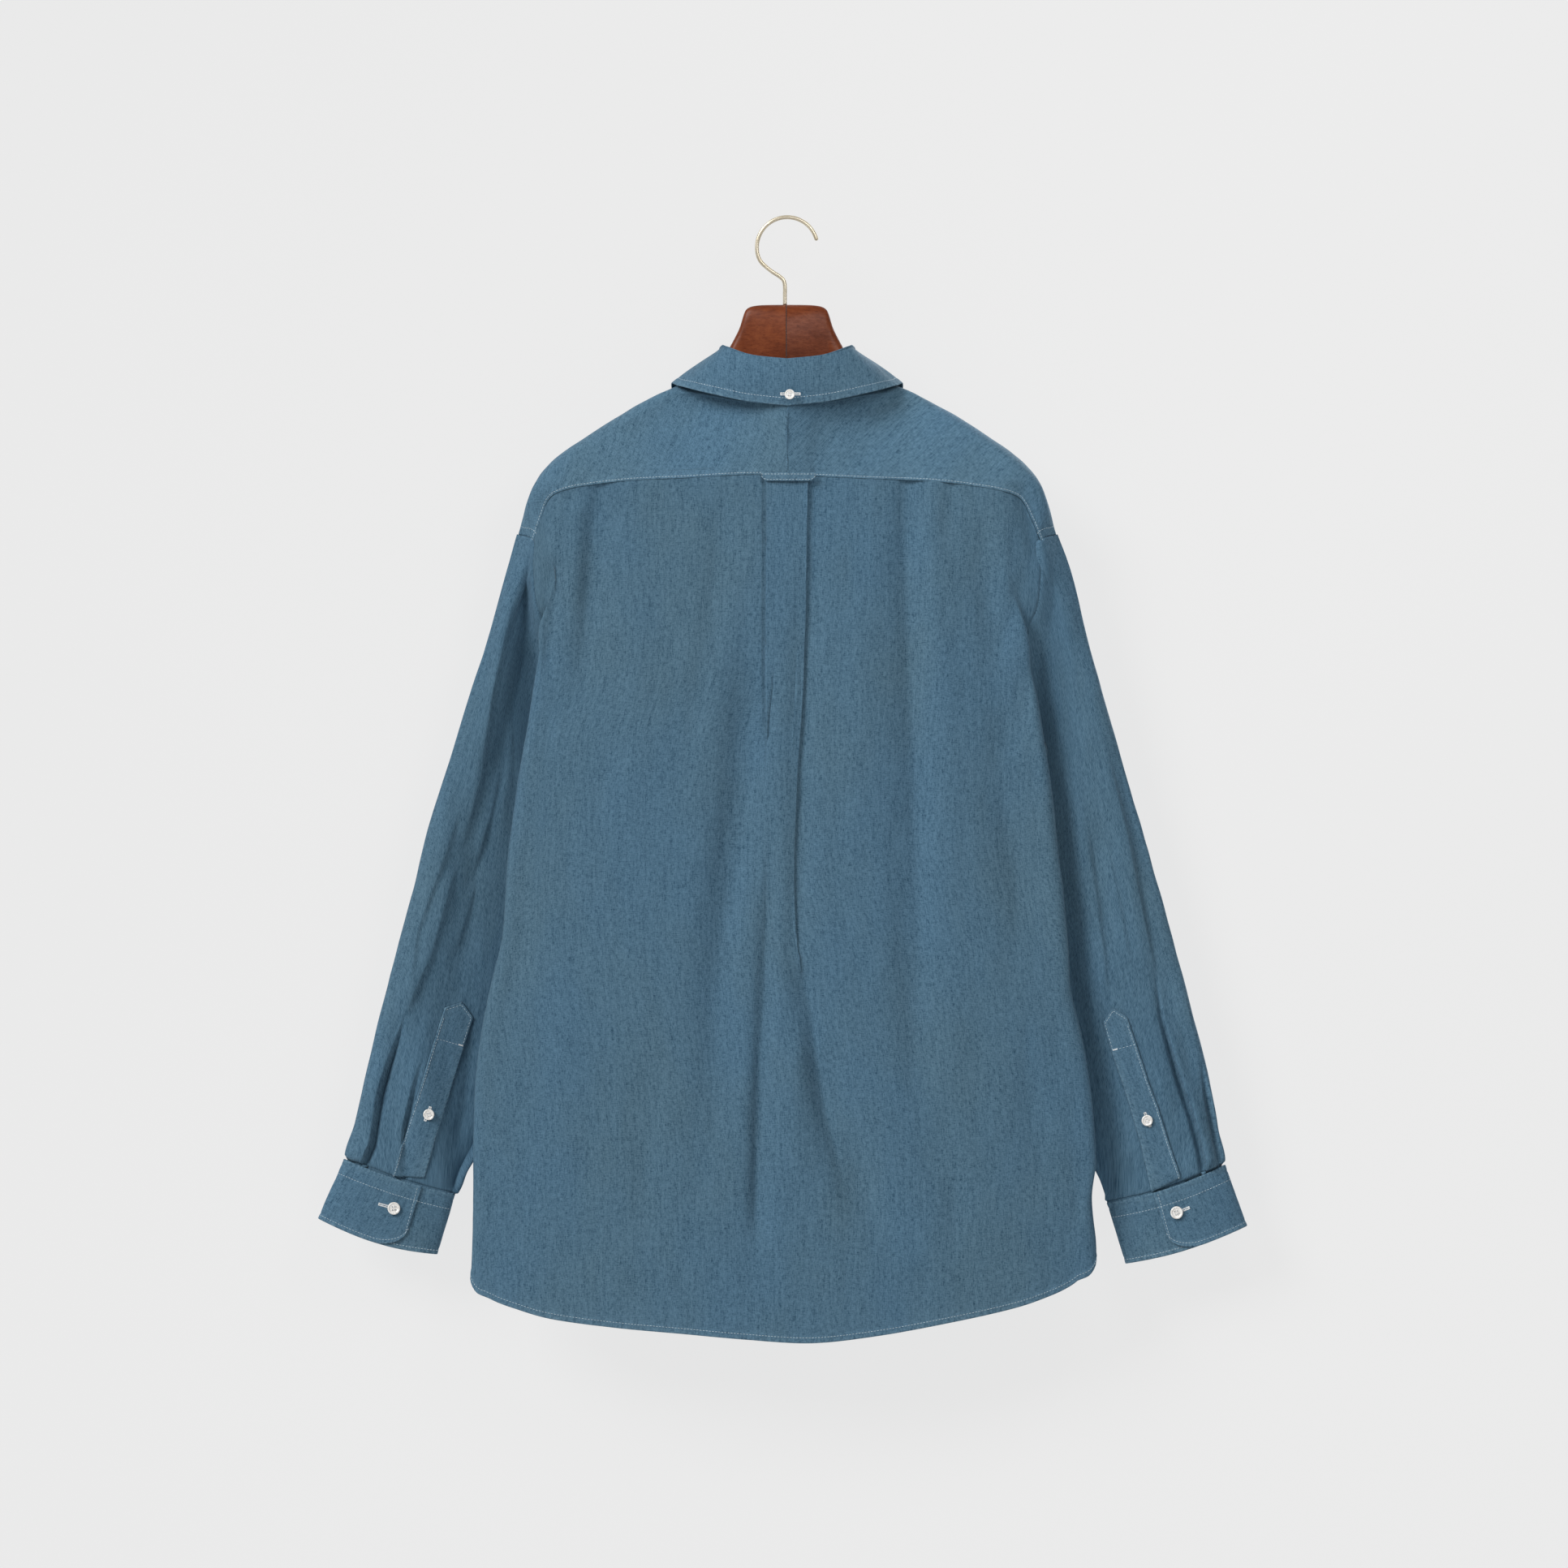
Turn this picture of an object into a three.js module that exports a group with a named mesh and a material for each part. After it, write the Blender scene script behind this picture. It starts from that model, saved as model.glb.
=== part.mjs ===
// A denim shirt on a wooden hanger, seen from the back.
// Millimetres, +Z up. The wearer faces +Y, so the shirt's back faces -Y and the wearer's left is at -X.
// The origin is the inside top of the hook, where a rail carries the hanger.
import * as THREE from 'three';

// Cloth
const WALL = 1.2;
const SEAM_GAP = 0.3;
const LAYER = WALL + SEAM_GAP;

// Hook
const WIRE = 1.75;
const HOOK_RADIUS = 26.25;
const HOOK_CENTRE_Z = WIRE - HOOK_RADIUS;
const HOOK_TIP_ANGLE = 17;
const HOOK_LOW_ANGLE = 200;
const HOOK_STEPS = 16;

// Hanger
const WOOD_TOP = -74.5;
const HANGER_REACH = 206;
const HALF_SEAM = 0.15;

// Body
const YOKE_CORNER = 0.08;
const UNDERARM_Z = -478;
const UNDERARM_Y = 2;
const FOLD_INSET = 16;
const CENTRE_OVERLAP = 17.5;
const FRONT_HEM_Z = -925;
const SIDE_SEAM_INSET = 10;
const FRONT_HEM_DROP = 12;
const SHOULDER_COLUMNS = 12;
const SHOULDER_SHARE = 0.6;
const NEAR_CENTRE = 0.9;

// Neck, as turns from the collar's back centre (0) to its front (1)
const NECK_TURN = 0.68;
const STAND_OVERLAP = 11;
const STAND_BUTTON_TURN = 0.955;
const POINT_BUTTON_TURN = 0.97;
const LEAF_ROLL = 2.2;

// Sleeves and cuffs
const SLEEVE_TOP_Z = -272.5;
const SLEEVE_SETTLED = 0.22;
const SLEEVE_GAP = 1.5;
const CUFF_TOP_Y = 20;
const CUFF_DEPTH_TOP = 9.8;
const CUFF_DEPTH_END = 11;
const CUFF_UNDERLAP = 0.27;
const CUFF_ROUNDING = 0.14;
const CUFF_START = 0.012;
const PLACKET_LIFT = 0.3;

// Loop
const LOOP_Z = -224;
const LOOP_HALF_LENGTH = 22;
const LOOP_HALF_HEIGHT = 3.4;

// Buttons
const BUTTON_THICKNESS = 2.4;
const FRONT_BUTTON = 9.7;
const COLLAR_BUTTON = 8.8;
const CUFF_BUTTON = 11;
const FRONT_BUTTON_TOP = -284;
const FRONT_BUTTON_PITCH = 90;
const FRONT_BUTTON_COUNT = 6;

// Pleat
const PLEAT_HALF = 18.2;
const PLEAT_RISE = 3;

// The body's visible side edges
const BODY_EDGE = [
  { z: -241, left: -208.6, right: 203 },
  { z: -290, left: -217, right: 204 },
  { z: -334, left: -218.5, right: 205.5 },
  { z: -385, left: -216.6, right: 210.5 },
  { z: -430, left: -222, right: 218 },
  { z: -480, left: -232.5, right: 227 },
  { z: -550, left: -243, right: 236 },
  { z: -610, left: -247, right: 242.3 },
  { z: -650, left: -256, right: 245 },
  { z: -703, left: -266.5, right: 257 },
  { z: -750, left: -270.5, right: 264 },
  { z: -800, left: -272, right: 267.3 },
  { z: -830, left: -271.5, right: 263.5 },
  { z: -877, left: -272.5, right: 267.4 },
  { z: -920, left: -275.5, right: 262 },
];

// Depth of the body at each height: the back's middle and edge, the side seam and the front's middle
const BODY_DEPTH = [
  { z: -150, backMid: -38, backEdge: -24, seam: 4, frontMid: 44 },
  { z: -222, backMid: -31, backEdge: -22, seam: 4, frontMid: 43 },
  { z: -300, backMid: -31, backEdge: -17, seam: 4, frontMid: 29 },
  { z: -400, backMid: -31, backEdge: -14, seam: 4, frontMid: 26 },
  { z: -480, backMid: -31, backEdge: -13, seam: 1, frontMid: 24 },
  { z: -560, backMid: -31, backEdge: -13, seam: -2, frontMid: 22 },
  { z: -700, backMid: -32, backEdge: -13, seam: -3, frontMid: 20 },
  { z: -975, backMid: -34, backEdge: -14, seam: -4, frontMid: 17 },
];

// The seam between the yoke and the back
const YOKE_SEAM = [
  { x: -219.5, z: -277.5 },
  { x: -212, z: -255 },
  { x: -206, z: -241 },
  { x: -194, z: -234 },
  { x: -173, z: -229.6 },
  { x: -138, z: -225.6 },
  { x: -90, z: -223.3 },
  { x: -37, z: -220.5 },
  { x: 0, z: -221 },
  { x: 73, z: -224 },
  { x: 127, z: -226.2 },
  { x: 171, z: -231.5 },
  { x: 192, z: -236 },
  { x: 203, z: -242 },
  { x: 211, z: -257 },
  { x: 219.5, z: -277.5 },
];

// The curved tail of the back
const BACK_HEM = [
  { x: -276, z: -918 },
  { x: -259, z: -932 },
  { x: -231, z: -943 },
  { x: -203, z: -950.6 },
  { x: -147, z: -958 },
  { x: -91, z: -963 },
  { x: -35, z: -968 },
  { x: 21, z: -971 },
  { x: 77, z: -965 },
  { x: 133, z: -955 },
  { x: 189, z: -943 },
  { x: 217, z: -934.5 },
  { x: 245, z: -922 },
  { x: 259, z: -909 },
  { x: 268, z: -893 },
];

// Where the side seams end at the hem
const SIDE_HEM = { left: -900, right: -884 };

// Soft troughs down the back, each from its top to its foot
const BACK_FOLDS = [
  { topX: -160, topZ: -240, footX: -178, footZ: -420, width: 14, depth: 4 },
  { topX: -33, topZ: -380, footX: -64, footZ: -800, width: 19, depth: 5 },
  { topX: -17, topZ: -520, footX: -27, footZ: -900, width: 10, depth: 3 },
  { topX: 17, topZ: -330, footX: 8, footZ: -640, width: 12, depth: 4.5 },
  { topX: 10, topZ: -640, footX: 72, footZ: -870, width: 20, depth: 5 },
  { topX: 97, topZ: -235, footX: 113, footZ: -760, width: 16, depth: 5 },
  { topX: 164, topZ: -260, footX: 205, footZ: -640, width: 18, depth: 3 },
];

// The armhole from the shoulder down to the underarm, along its back and along its front
const ARMHOLE = [
  { down: 0, backX: 232.5, backY: 8, backZ: -272.5, frontX: 232.5, frontY: 8, frontZ: -272.5 },
  { down: 0.08, backX: 219.5, backY: -8.5, backZ: -277.5, frontX: 226, frontY: 19.5, frontZ: -279 },
  { down: 0.22, backX: 219.5, backY: -9, backZ: -302, frontX: 218, frontY: 22.5, frontZ: -308 },
  { down: 0.38, backX: 216, backY: -7, backZ: -334, frontX: 214, frontY: 21.5, frontZ: -345 },
  { down: 0.5, backX: 208, backY: -4.5, backZ: -356, frontX: 212, frontY: 19, frontZ: -375 },
  { down: 0.7, backX: 206, backY: -1.5, backZ: -396, frontX: 210.5, frontY: 14, frontZ: -412 },
  { down: 0.86, backX: 212, backY: 0, backZ: -440, frontX: 212.5, frontY: 7.5, frontZ: -446 },
  { down: 1, backX: 218, backY: 2, backZ: -478, frontX: 218, frontY: 2, frontZ: -478 },
];

// The hanger under each shoulder: reach from the centre, the cloth's crown, the wood's half depth
const SHOULDER = [
  { reach: 95, seam: 58, crown: -144.5, depth: 13, round: 18 },
  { reach: 130, seam: 108, crown: -161.5, depth: 16, round: 18 },
  { reach: 168, seam: 156, crown: -184.5, depth: 18.5, round: 18 },
  { reach: 204, seam: 198, crown: -210.5, depth: 20, round: 16 },
  { reach: 222, seam: 210, crown: -236, depth: 16, round: 9 },
];

// Sleeve edges on each side: the outer one and the one beside the body
const SLEEVE_OUTER = [
  { z: -272.5, left: 232.5, right: 232.5 },
  { z: -302, left: 241, right: 243.5 },
  { z: -358, left: 257.6, right: 258.3 },
  { z: -414, left: 275.8, right: 274.4 },
  { z: -470, left: 293, right: 290.5 },
  { z: -526, left: 310.8, right: 306.6 },
  { z: -582, left: 324.8, right: 322.7 },
  { z: -638, left: 339.5, right: 338.1 },
  { z: -694, left: 354.2, right: 352.8 },
  { z: -750, left: 367.5, right: 366.8 },
  { z: -813, left: 381.5, right: 376.9 },
];
const SLEEVE_INNER = [
  { z: -478, left: 218, right: 218 },
  { z: -500, left: 223, right: 221 },
  { z: -530, left: 213, right: 210 },
  { z: -570, left: 198, right: 194 },
  { z: -620, left: 196, right: 192 },
  { z: -680, left: 210, right: 206 },
  { z: -740, left: 235, right: 230 },
  { z: -800, left: 263, right: 255 },
  { z: -844, left: 288.4, right: 277.7 },
];

// How the sleeve lies along its length
const SLEEVE_LIE = [
  { along: 0, outerY: 8, innerY: 4, depth: 4 },
  { along: 0.06, outerY: 10, innerY: 13, depth: 7 },
  { along: 0.14, outerY: 13, innerY: 19, depth: 11 },
  { along: 0.3, outerY: 17, innerY: 21, depth: 13 },
  { along: 0.6, outerY: 20, innerY: 22, depth: 14 },
  { along: 0.9, outerY: 20, innerY: 22, depth: 12 },
  { along: 1, outerY: 19, innerY: 21, depth: 8.5 },
];

// Sleeve ends and cuffs, seen from the back
const CUFF = {
  left: {
    topOuterZ: -813, topInnerZ: -844, topSag: 2.6,
    endOuterX: 403.9, endOuterZ: -864.5, endInnerX: 304, endInnerZ: -895.7, endSag: 6,
    freeEdge: 0.69, button: [-340.6, -855.9],
  },
  right: {
    topOuterZ: -818, topInnerZ: -851, topSag: 4.5,
    endOuterX: 396, endOuterZ: -870.8, endInnerX: 294, endInnerZ: -903.7, endSag: 4.5,
    freeEdge: 0.6, button: [336.9, -859.6],
  },
};

// Tower plackets on the sleeves: from the point at the top down to the cuff
const TOWER = {
  left: {
    apexX: -281.8, apexZ: -678, boxLeftX: -305, boxLeftZ: -708, boxRightX: -281, boxRightZ: -714,
    endLeftX: -342, endLeftZ: -829, endRightX: -318, endRightZ: -836, button: [-310.3, -774.7],
  },
  right: {
    apexX: 281.6, apexZ: -683, boxLeftX: 300.5, boxLeftZ: -713, boxRightX: 277.5, boxRightZ: -718,
    endLeftX: 340, endLeftZ: -831, endRightX: 317, endRightZ: -838, button: [311.5, -779.8],
  },
};

// The collar from the back centre round to the front: the stand's foot, the fold and the leaf's edge
const COLLAR = [
  {
    turn: 0, footX: 0, footY: -43, footZ: -156.5,
    foldX: 0, foldY: -49, foldZ: -123, edgeX: 0, edgeY: -49.5, edgeZ: -162,
  },
  {
    turn: 0.2, footX: 30, footY: -39, footZ: -155,
    foldX: 31, foldY: -44, foldZ: -119.5, edgeX: 38, edgeY: -46, edgeZ: -157.5,
  },
  {
    turn: 0.4, footX: 54, footY: -24, footZ: -143,
    foldX: 53, foldY: -28, foldZ: -112, edgeX: 76, edgeY: -33, edgeZ: -149,
  },
  {
    turn: 0.5, footX: 65, footY: -9, footZ: -131,
    foldX: 60.5, foldY: -11, foldZ: -109.5, edgeX: 94, edgeY: -16, edgeZ: -144,
  },
  {
    turn: 0.6, footX: 67, footY: 9, footZ: -132,
    foldX: 60, foldY: 9, foldZ: -111, edgeX: 100, edgeY: 8, edgeZ: -144.5,
  },
  {
    turn: 0.8, footX: 47, footY: 34, footZ: -174,
    foldX: 43, foldY: 33, foldZ: -148, edgeX: 90, edgeY: 35, edgeZ: -196,
  },
  {
    turn: 1, footX: 0, footY: 43, footZ: -213,
    foldX: 8, foldY: 44, foldZ: -184, edgeX: 64, edgeY: 42, edgeZ: -258,
  },
];

const COLOUR = { cloth: 0x4b6b80, button: 0xd8d7d3, wood: 0x7b4a31, metal: 0xb9ae98 };

function finish(name, roughness, metalness = 0) {
  return new THREE.MeshStandardMaterial({ name, color: COLOUR[name], roughness, metalness });
}

const cloth = finish('cloth', 0.92);
const buttonShell = finish('button', 0.25);
const wood = finish('wood', 0.35);
const metal = finish('metal', 0.3, 1);

const shirt = new THREE.Group();
const V = (x, y, z) => new THREE.Vector3(x, y, z);
const lerp = THREE.MathUtils.lerp;
const sides = [{ name: 'left', sign: -1 }, { name: 'right', sign: 1 }];

function add(name, geometry, material) {
  const mesh = new THREE.Mesh(geometry, material);
  mesh.name = name;
  shirt.add(mesh);
  return mesh;
}

// A smooth value of one column of a table, at a given value of its key column
function read(rows, key, column, at) {
  const rising = rows[0][key] < rows[rows.length - 1][key];
  const table = rising ? rows : [...rows].reverse();
  const last = table.length - 1;
  if (at <= table[0][key]) return table[0][column];
  if (at >= table[last][key]) return table[last][column];
  const i = table.findIndex((row, k) => k < last && at <= table[k + 1][key]);
  const slope = (k) => {
    const before = table[Math.max(0, k - 1)];
    const after = table[Math.min(last, k + 1)];
    return (after[column] - before[column]) / (after[key] - before[key]);
  };
  const span = table[i + 1][key] - table[i][key];
  const t = (at - table[i][key]) / span;
  const t2 = t * t;
  const t3 = t2 * t;
  return (2 * t3 - 3 * t2 + 1) * table[i][column] + (t3 - 2 * t2 + t) * span * slope(i)
    + (3 * t2 - 2 * t3) * table[i + 1][column] + (t3 - t2) * span * slope(i + 1);
}

const smooth = (from, to, at) => {
  const t = Math.min(1, Math.max(0, (at - from) / (to - from)));
  return t * t * (3 - 2 * t);
};

// Triangles of a closed body, turned so that its faces point out
function body(points, triangles) {
  const geometry = new THREE.BufferGeometry();
  let volume = 0;
  for (const [a, b, c] of triangles) {
    volume += points[a].dot(points[b].clone().cross(points[c]));
  }
  const index = triangles.flatMap(([a, b, c]) => (volume > 0 ? [a, b, c] : [a, c, b]));
  geometry.setAttribute('position', new THREE.Float32BufferAttribute(points.flatMap((p) => p.toArray()), 3));
  geometry.setIndex(index);
  geometry.computeVertexNormals();
  return geometry;
}

// The normals of a grid of points, from its neighbours along both ways
function gridNormals(grid, closed) {
  const rows = grid.length;
  const columns = grid[0].length;
  return grid.map((row, j) => row.map((point, i) => {
    const left = closed ? (i + columns - 1) % columns : Math.max(0, i - 1);
    const right = closed ? (i + 1) % columns : Math.min(columns - 1, i + 1);
    const across = row[right].clone().sub(row[left]);
    const down = grid[Math.min(rows - 1, j + 1)][i].clone().sub(grid[Math.max(0, j - 1)][i]);
    return across.cross(down).normalize();
  }));
}

// A wall of cloth: the grid's points are its outer face, and its inner face lies one wall along the normals
function wall(grid, { inward = 1, closed = false, settle = (point) => point } = {}) {
  const rows = grid.length;
  const columns = grid[0].length;
  const normals = gridNormals(grid, closed);
  const outer = grid.flat();
  const thickness = WALL * inward;
  const inner = outer.map((point, k) => point.clone().addScaledVector(normals.flat()[k], thickness));
  const points = [...outer, ...inner].map(settle);
  const shift = outer.length;
  const at = (j, i) => j * columns + (i % columns);
  const triangles = [];
  const quad = (a, b, c, d) => triangles.push([a, b, c], [a, c, d]);
  const spans = closed ? columns : columns - 1;
  for (let j = 0; j < rows - 1; j += 1) {
    for (let i = 0; i < spans; i += 1) {
      quad(at(j, i), at(j, i + 1), at(j + 1, i + 1), at(j + 1, i));
      quad(shift + at(j, i), shift + at(j + 1, i), shift + at(j + 1, i + 1), shift + at(j, i + 1));
    }
  }
  for (let i = 0; i < spans; i += 1) {
    quad(at(0, i), shift + at(0, i), shift + at(0, i + 1), at(0, i + 1));
    quad(at(rows - 1, i), at(rows - 1, i + 1), shift + at(rows - 1, i + 1), shift + at(rows - 1, i));
  }
  if (!closed) {
    for (let j = 0; j < rows - 1; j += 1) {
      quad(at(j, 0), at(j + 1, 0), shift + at(j + 1, 0), shift + at(j, 0));
      const upper = at(j, columns - 1);
      const lower = at(j + 1, columns - 1);
      quad(upper, shift + upper, shift + lower, lower);
    }
  }
  return body(points, triangles);
}

// A point on a smooth line through given points, at a share of the points' own steps
function onLine(points, share) {
  return new THREE.CatmullRomCurve3(points, false, 'catmullrom', 0.5).getPoint(share);
}

const steps = (count) => Array.from({ length: count + 1 }, (unused, i) => i / count);

// The armhole seam, with the side's sign
function armhole(sign, down, face) {
  return V(
    sign * read(ARMHOLE, 'down', `${face}X`, down),
    read(ARMHOLE, 'down', `${face}Y`, down),
    read(ARMHOLE, 'down', `${face}Z`, down),
  );
}

// The side seam below the underarm
function sideSeam(side, z) {
  const settled = smooth(UNDERARM_Z, UNDERARM_Z - 40, z);
  const edge = Math.abs(read(BODY_EDGE, 'z', side.name, z)) - SIDE_SEAM_INSET;
  const x = lerp(ARMHOLE[ARMHOLE.length - 1].backX, edge, settled);
  const y = lerp(UNDERARM_Y, read(BODY_DEPTH, 'z', 'seam', z), settled);
  return V(side.sign * x, y, z);
}

// The panel's whole side edge, from the yoke's corner to the hem, for a share of its length
function sideEdge(side, face, share) {
  const hem = SIDE_HEM[side.name];
  const top = armhole(side.sign, YOKE_CORNER, face).z - 3 * SEAM_GAP;
  const z = lerp(top, hem, share);
  if (z > UNDERARM_Z) {
    let low = YOKE_CORNER;
    let high = 1;
    for (let i = 0; i < 24; i += 1) {
      const middle = (low + high) / 2;
      if (read(ARMHOLE, 'down', `${face}Z`, middle) > z) low = middle;
      else high = middle;
    }
    const point = armhole(side.sign, low, face);
    point.z = z;
    return point;
  }
  return sideSeam(side, z);
}

function foldDepth(x, z) {
  let depth = 0;
  for (const fold of BACK_FOLDS) {
    const share = (z - fold.topZ) / (fold.footZ - fold.topZ);
    if (share > -0.2 && share < 1.2) {
      const offset = x - lerp(fold.topX, fold.footX, share);
      const fade = smooth(-0.2, 0.15, share) * (1 - smooth(0.8, 1.2, share));
      depth += fold.depth * fade * Math.exp(-((offset / fold.width) ** 2));
    }
  }
  return depth;
}

function pleatRise(x, z) {
  const reach = 1 - smooth(-420, -760, z);
  const band = 1 - smooth(PLEAT_HALF - 1, PLEAT_HALF + 3, Math.abs(x));
  return PLEAT_RISE * reach * band;
}

// The outer face of the back between its two side folds
function backY(x, z) {
  const left = read(BODY_EDGE, 'z', 'left', z);
  const right = read(BODY_EDGE, 'z', 'right', z);
  const across = Math.min(1, Math.abs((2 * x - left - right) / (right - left)));
  const middle = read(BODY_DEPTH, 'z', 'backMid', z);
  const edge = read(BODY_DEPTH, 'z', 'backEdge', z);
  return lerp(middle, edge, across ** 2.6) + foldDepth(x, z) - pleatRise(x, z);
}

// One row of the back's edge columns, from the side seam round the fold to the flat of the panel
function foldedEdge(side, share) {
  const seam = sideEdge(side, 'back', share);
  const z = seam.z;
  const edge = read(BODY_EDGE, 'z', side.name, z);
  const inX = edge - side.sign * FOLD_INSET;
  const flat = backY(inX, z);
  const folded = smooth(-335, -375, z);
  const turned = [
    seam,
    V(edge - side.sign * 4, seam.y - 2.2, z),
    V(edge, (seam.y + flat) / 2 - 1, z),
    V(edge - side.sign * 5, flat + 1.2, z),
    V(inX, flat, z),
  ];
  return turned.map((point, i) => {
    const straight = seam.clone().lerp(turned[4], i / 4);
    return straight.lerp(point, folded);
  });
}

const backColumns = steps(26).slice(1, -1);
const hemZ = (x) => read(BACK_HEM, 'x', 'z', x);
const seamZ = (x) => read(YOKE_SEAM, 'x', 'z', x);

function backRow(share) {
  const left = foldedEdge(sides[0], share);
  const right = foldedEdge(sides[1], share).reverse();
  const fromX = left[4].x;
  const toX = right[0].x;
  const middle = backColumns.map((across) => {
    const x = lerp(fromX, toX, across);
    return V(x, 0, 0);
  });
  const row = [...left, ...middle, ...right];
  return row.map((point) => {
    const main = point.x > fromX - 0.01 && point.x < toX + 0.01;
    const x = point.x;
    const high = seamZ(x) - 2.5 * SEAM_GAP;
    const low = hemZ(x);
    const z = main ? lerp(high, low, share) : point.z;
    return V(x, main ? backY(x, z) : point.y, z);
  });
}

function buildBack() {
  // The edge columns ease to the side seam's height, and follow the yoke at the top
  const grid = steps(24).map((share) => {
    const row = backRow(share);
    const last = row.length - 1;
    const atYoke = (1 - share) ** 8;
    for (let k = 1; k < 4; k += 1) {
      const ease = smooth(0, 4, k);
      for (const [at, seamAt, flatAt] of [[k, 0, 4], [last - k, last, last - 4]]) {
        const eased = lerp(row[seamAt].z, row[flatAt].z, ease);
        row[at].z = lerp(eased, seamZ(row[at].x) - 4 * SEAM_GAP, atYoke);
      }
    }
    return row;
  });
  add('back', wall(grid), cloth);
}

// Depth of the yoke's lower edge: the back panel's own, and beyond its flat a straight run to the armhole
function yokeEdgeY(side, x) {
  const corner = armhole(side.sign, YOKE_CORNER, 'back');
  const flatX = read(BODY_EDGE, 'z', side.name, corner.z) - side.sign * FOLD_INSET;
  const beyond = (x - flatX) / (corner.x - flatX);
  if (beyond <= 0) return backY(x, seamZ(x));
  return lerp(backY(flatX, seamZ(flatX)), corner.y, Math.min(1, beyond));
}

// One rib of the yoke over the hanger, from the back seam to the front shoulder seam
function shoulderRib(side, row) {
  const over = row.depth + WALL + 0.5;
  const x = side.sign * row.reach;
  const seamX = side.sign * row.seam;
  const bow = row.round * 0.3;
  return [
    V(seamX, yokeEdgeY(side, seamX), seamZ(seamX)),
    V(lerp(seamX, x, 0.6), -over, row.crown - row.round),
    V(x, -over * 0.72, row.crown - bow),
    V(x, 0, row.crown),
    V(x, over * 0.72, row.crown - bow),
    V(x, over, row.crown - row.round),
    V(x, over + 0.6, row.crown - 34 * smooth(0, 18, row.round)),
  ];
}

function neckRib(side) {
  return [0, 0, 0.26, 0.5, 0.58, 0.64, 0.68].map((turn, i) => {
    if (i === 0) return V(side.sign * HALF_SEAM, backY(0, -221), seamZ(0));
    const foot = collarPoint(side, turn, 'foot', 0);
    foot.x = side.sign * Math.max(HALF_SEAM, Math.abs(foot.x) + 1.2);
    foot.z -= LAYER + 2 * SEAM_GAP + (i === 1 || i === 2 ? LAYER * 2.5 : 0);
    return foot;
  });
}

function armholeRib(side) {
  const back = [YOKE_CORNER, YOKE_CORNER * 0.6, YOKE_CORNER * 0.25, 0];
  const front = [YOKE_CORNER * 0.25, YOKE_CORNER * 0.6, YOKE_CORNER];
  return [
    ...back.map((down) => armhole(side.sign, down, 'back')),
    ...front.map((down) => armhole(side.sign, down, 'front')),
  ];
}

function yokeRibs(side) {
  return [neckRib(side), ...SHOULDER.map((row) => shoulderRib(side, row)), armholeRib(side)];
}

// The front shoulder seam, from the neck to the armhole
function shoulderSeam(side, share) {
  return onLine(yokeRibs(side).map((rib) => rib[6]), share);
}

function buildYoke(side) {
  const ribs = yokeRibs(side);
  const lines = [0, 1, 2, 3, 4, 5, 6].map((k) => ribs.map((rib) => rib[k]));
  const grid = steps(12).map((share) => steps(SHOULDER_COLUMNS).map((across) => {
    const point = onLine(lines.map((line) => onLine(line, across)), share);
    const foot = onLine(lines[0], across);
    const nearSeam = (1 - share) ** 4;
    point.y += (yokeEdgeY(side, foot.x) - foot.y) * nearSeam;
    point.z += (seamZ(foot.x) - foot.z) * nearSeam;
    return point;
  }));
  const settle = (point) => V(side.sign * Math.max(HALF_SEAM, side.sign * point.x), point.y, point.z);
  add(`yoke_${side.name}`, wall(grid, { inward: -side.sign, settle }), cloth);
}

// A point of the collar for one of its three lines, moved outward by a small distance
function collarPoint(side, turn, line, out) {
  const x = read(COLLAR, 'turn', `${line}X`, turn);
  const y = read(COLLAR, 'turn', `${line}Y`, turn);
  const z = read(COLLAR, 'turn', `${line}Z`, turn);
  const length = Math.hypot(x, y);
  return V(side.sign * (x + (out * x) / length), y + (out * y) / length, z);
}

// The front panel's edges from the side to the centre line: side, top, centre and hem
function frontEdges(side) {
  const top = (share) => {
    if (share <= SHOULDER_SHARE) {
      const seam = shoulderSeam(side, 1 - share / SHOULDER_SHARE);
      seam.z -= 2 * SEAM_GAP;
      return seam;
    }
    const turn = lerp(NECK_TURN, 1, (share - SHOULDER_SHARE) / (1 - SHOULDER_SHARE));
    const foot = collarPoint(side, turn, 'foot', 0);
    foot.z -= LAYER * (1.6 + 2.6 * smooth(NECK_TURN, 0.8, turn));
    return foot;
  };
  const centre = (share) => {
    const z = lerp(top(1).z, FRONT_HEM_Z, share);
    return V(0, read(BODY_DEPTH, 'z', 'frontMid', z), z);
  };
  const sideLine = (share) => {
    const point = sideEdge(side, 'front', share);
    point.x -= side.sign * 7.5 * SEAM_GAP;
    point.y += 3 * SEAM_GAP;
    return point;
  };
  const hem = (share) => {
    const drop = FRONT_HEM_DROP * Math.sin(Math.PI * share);
    return sideLine(1).lerp(centre(1), share).add(V(0, 0, -drop));
  };
  return { top, centre, sideLine, hem };
}

// A point of a front panel for its share from the side to the centre line, and down
function frontPoint(edges, across, down) {
  const point = edges.top(across).multiplyScalar(1 - down);
  point.addScaledVector(edges.hem(across), down);
  point.addScaledVector(edges.sideLine(down), 1 - across);
  point.addScaledVector(edges.centre(down), across);
  point.addScaledVector(edges.top(0), -(1 - across) * (1 - down));
  point.addScaledVector(edges.top(1), -across * (1 - down));
  point.addScaledVector(edges.hem(0), -(1 - across) * down);
  point.addScaledVector(edges.hem(1), -across * down);
  return point;
}

// The wearer's left front lies over the right one near the centre
function frontLift(side, x) {
  return side.name === 'left' ? 1.4 * LAYER * (1 - smooth(22, 70, Math.abs(x))) : 0;
}

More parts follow.
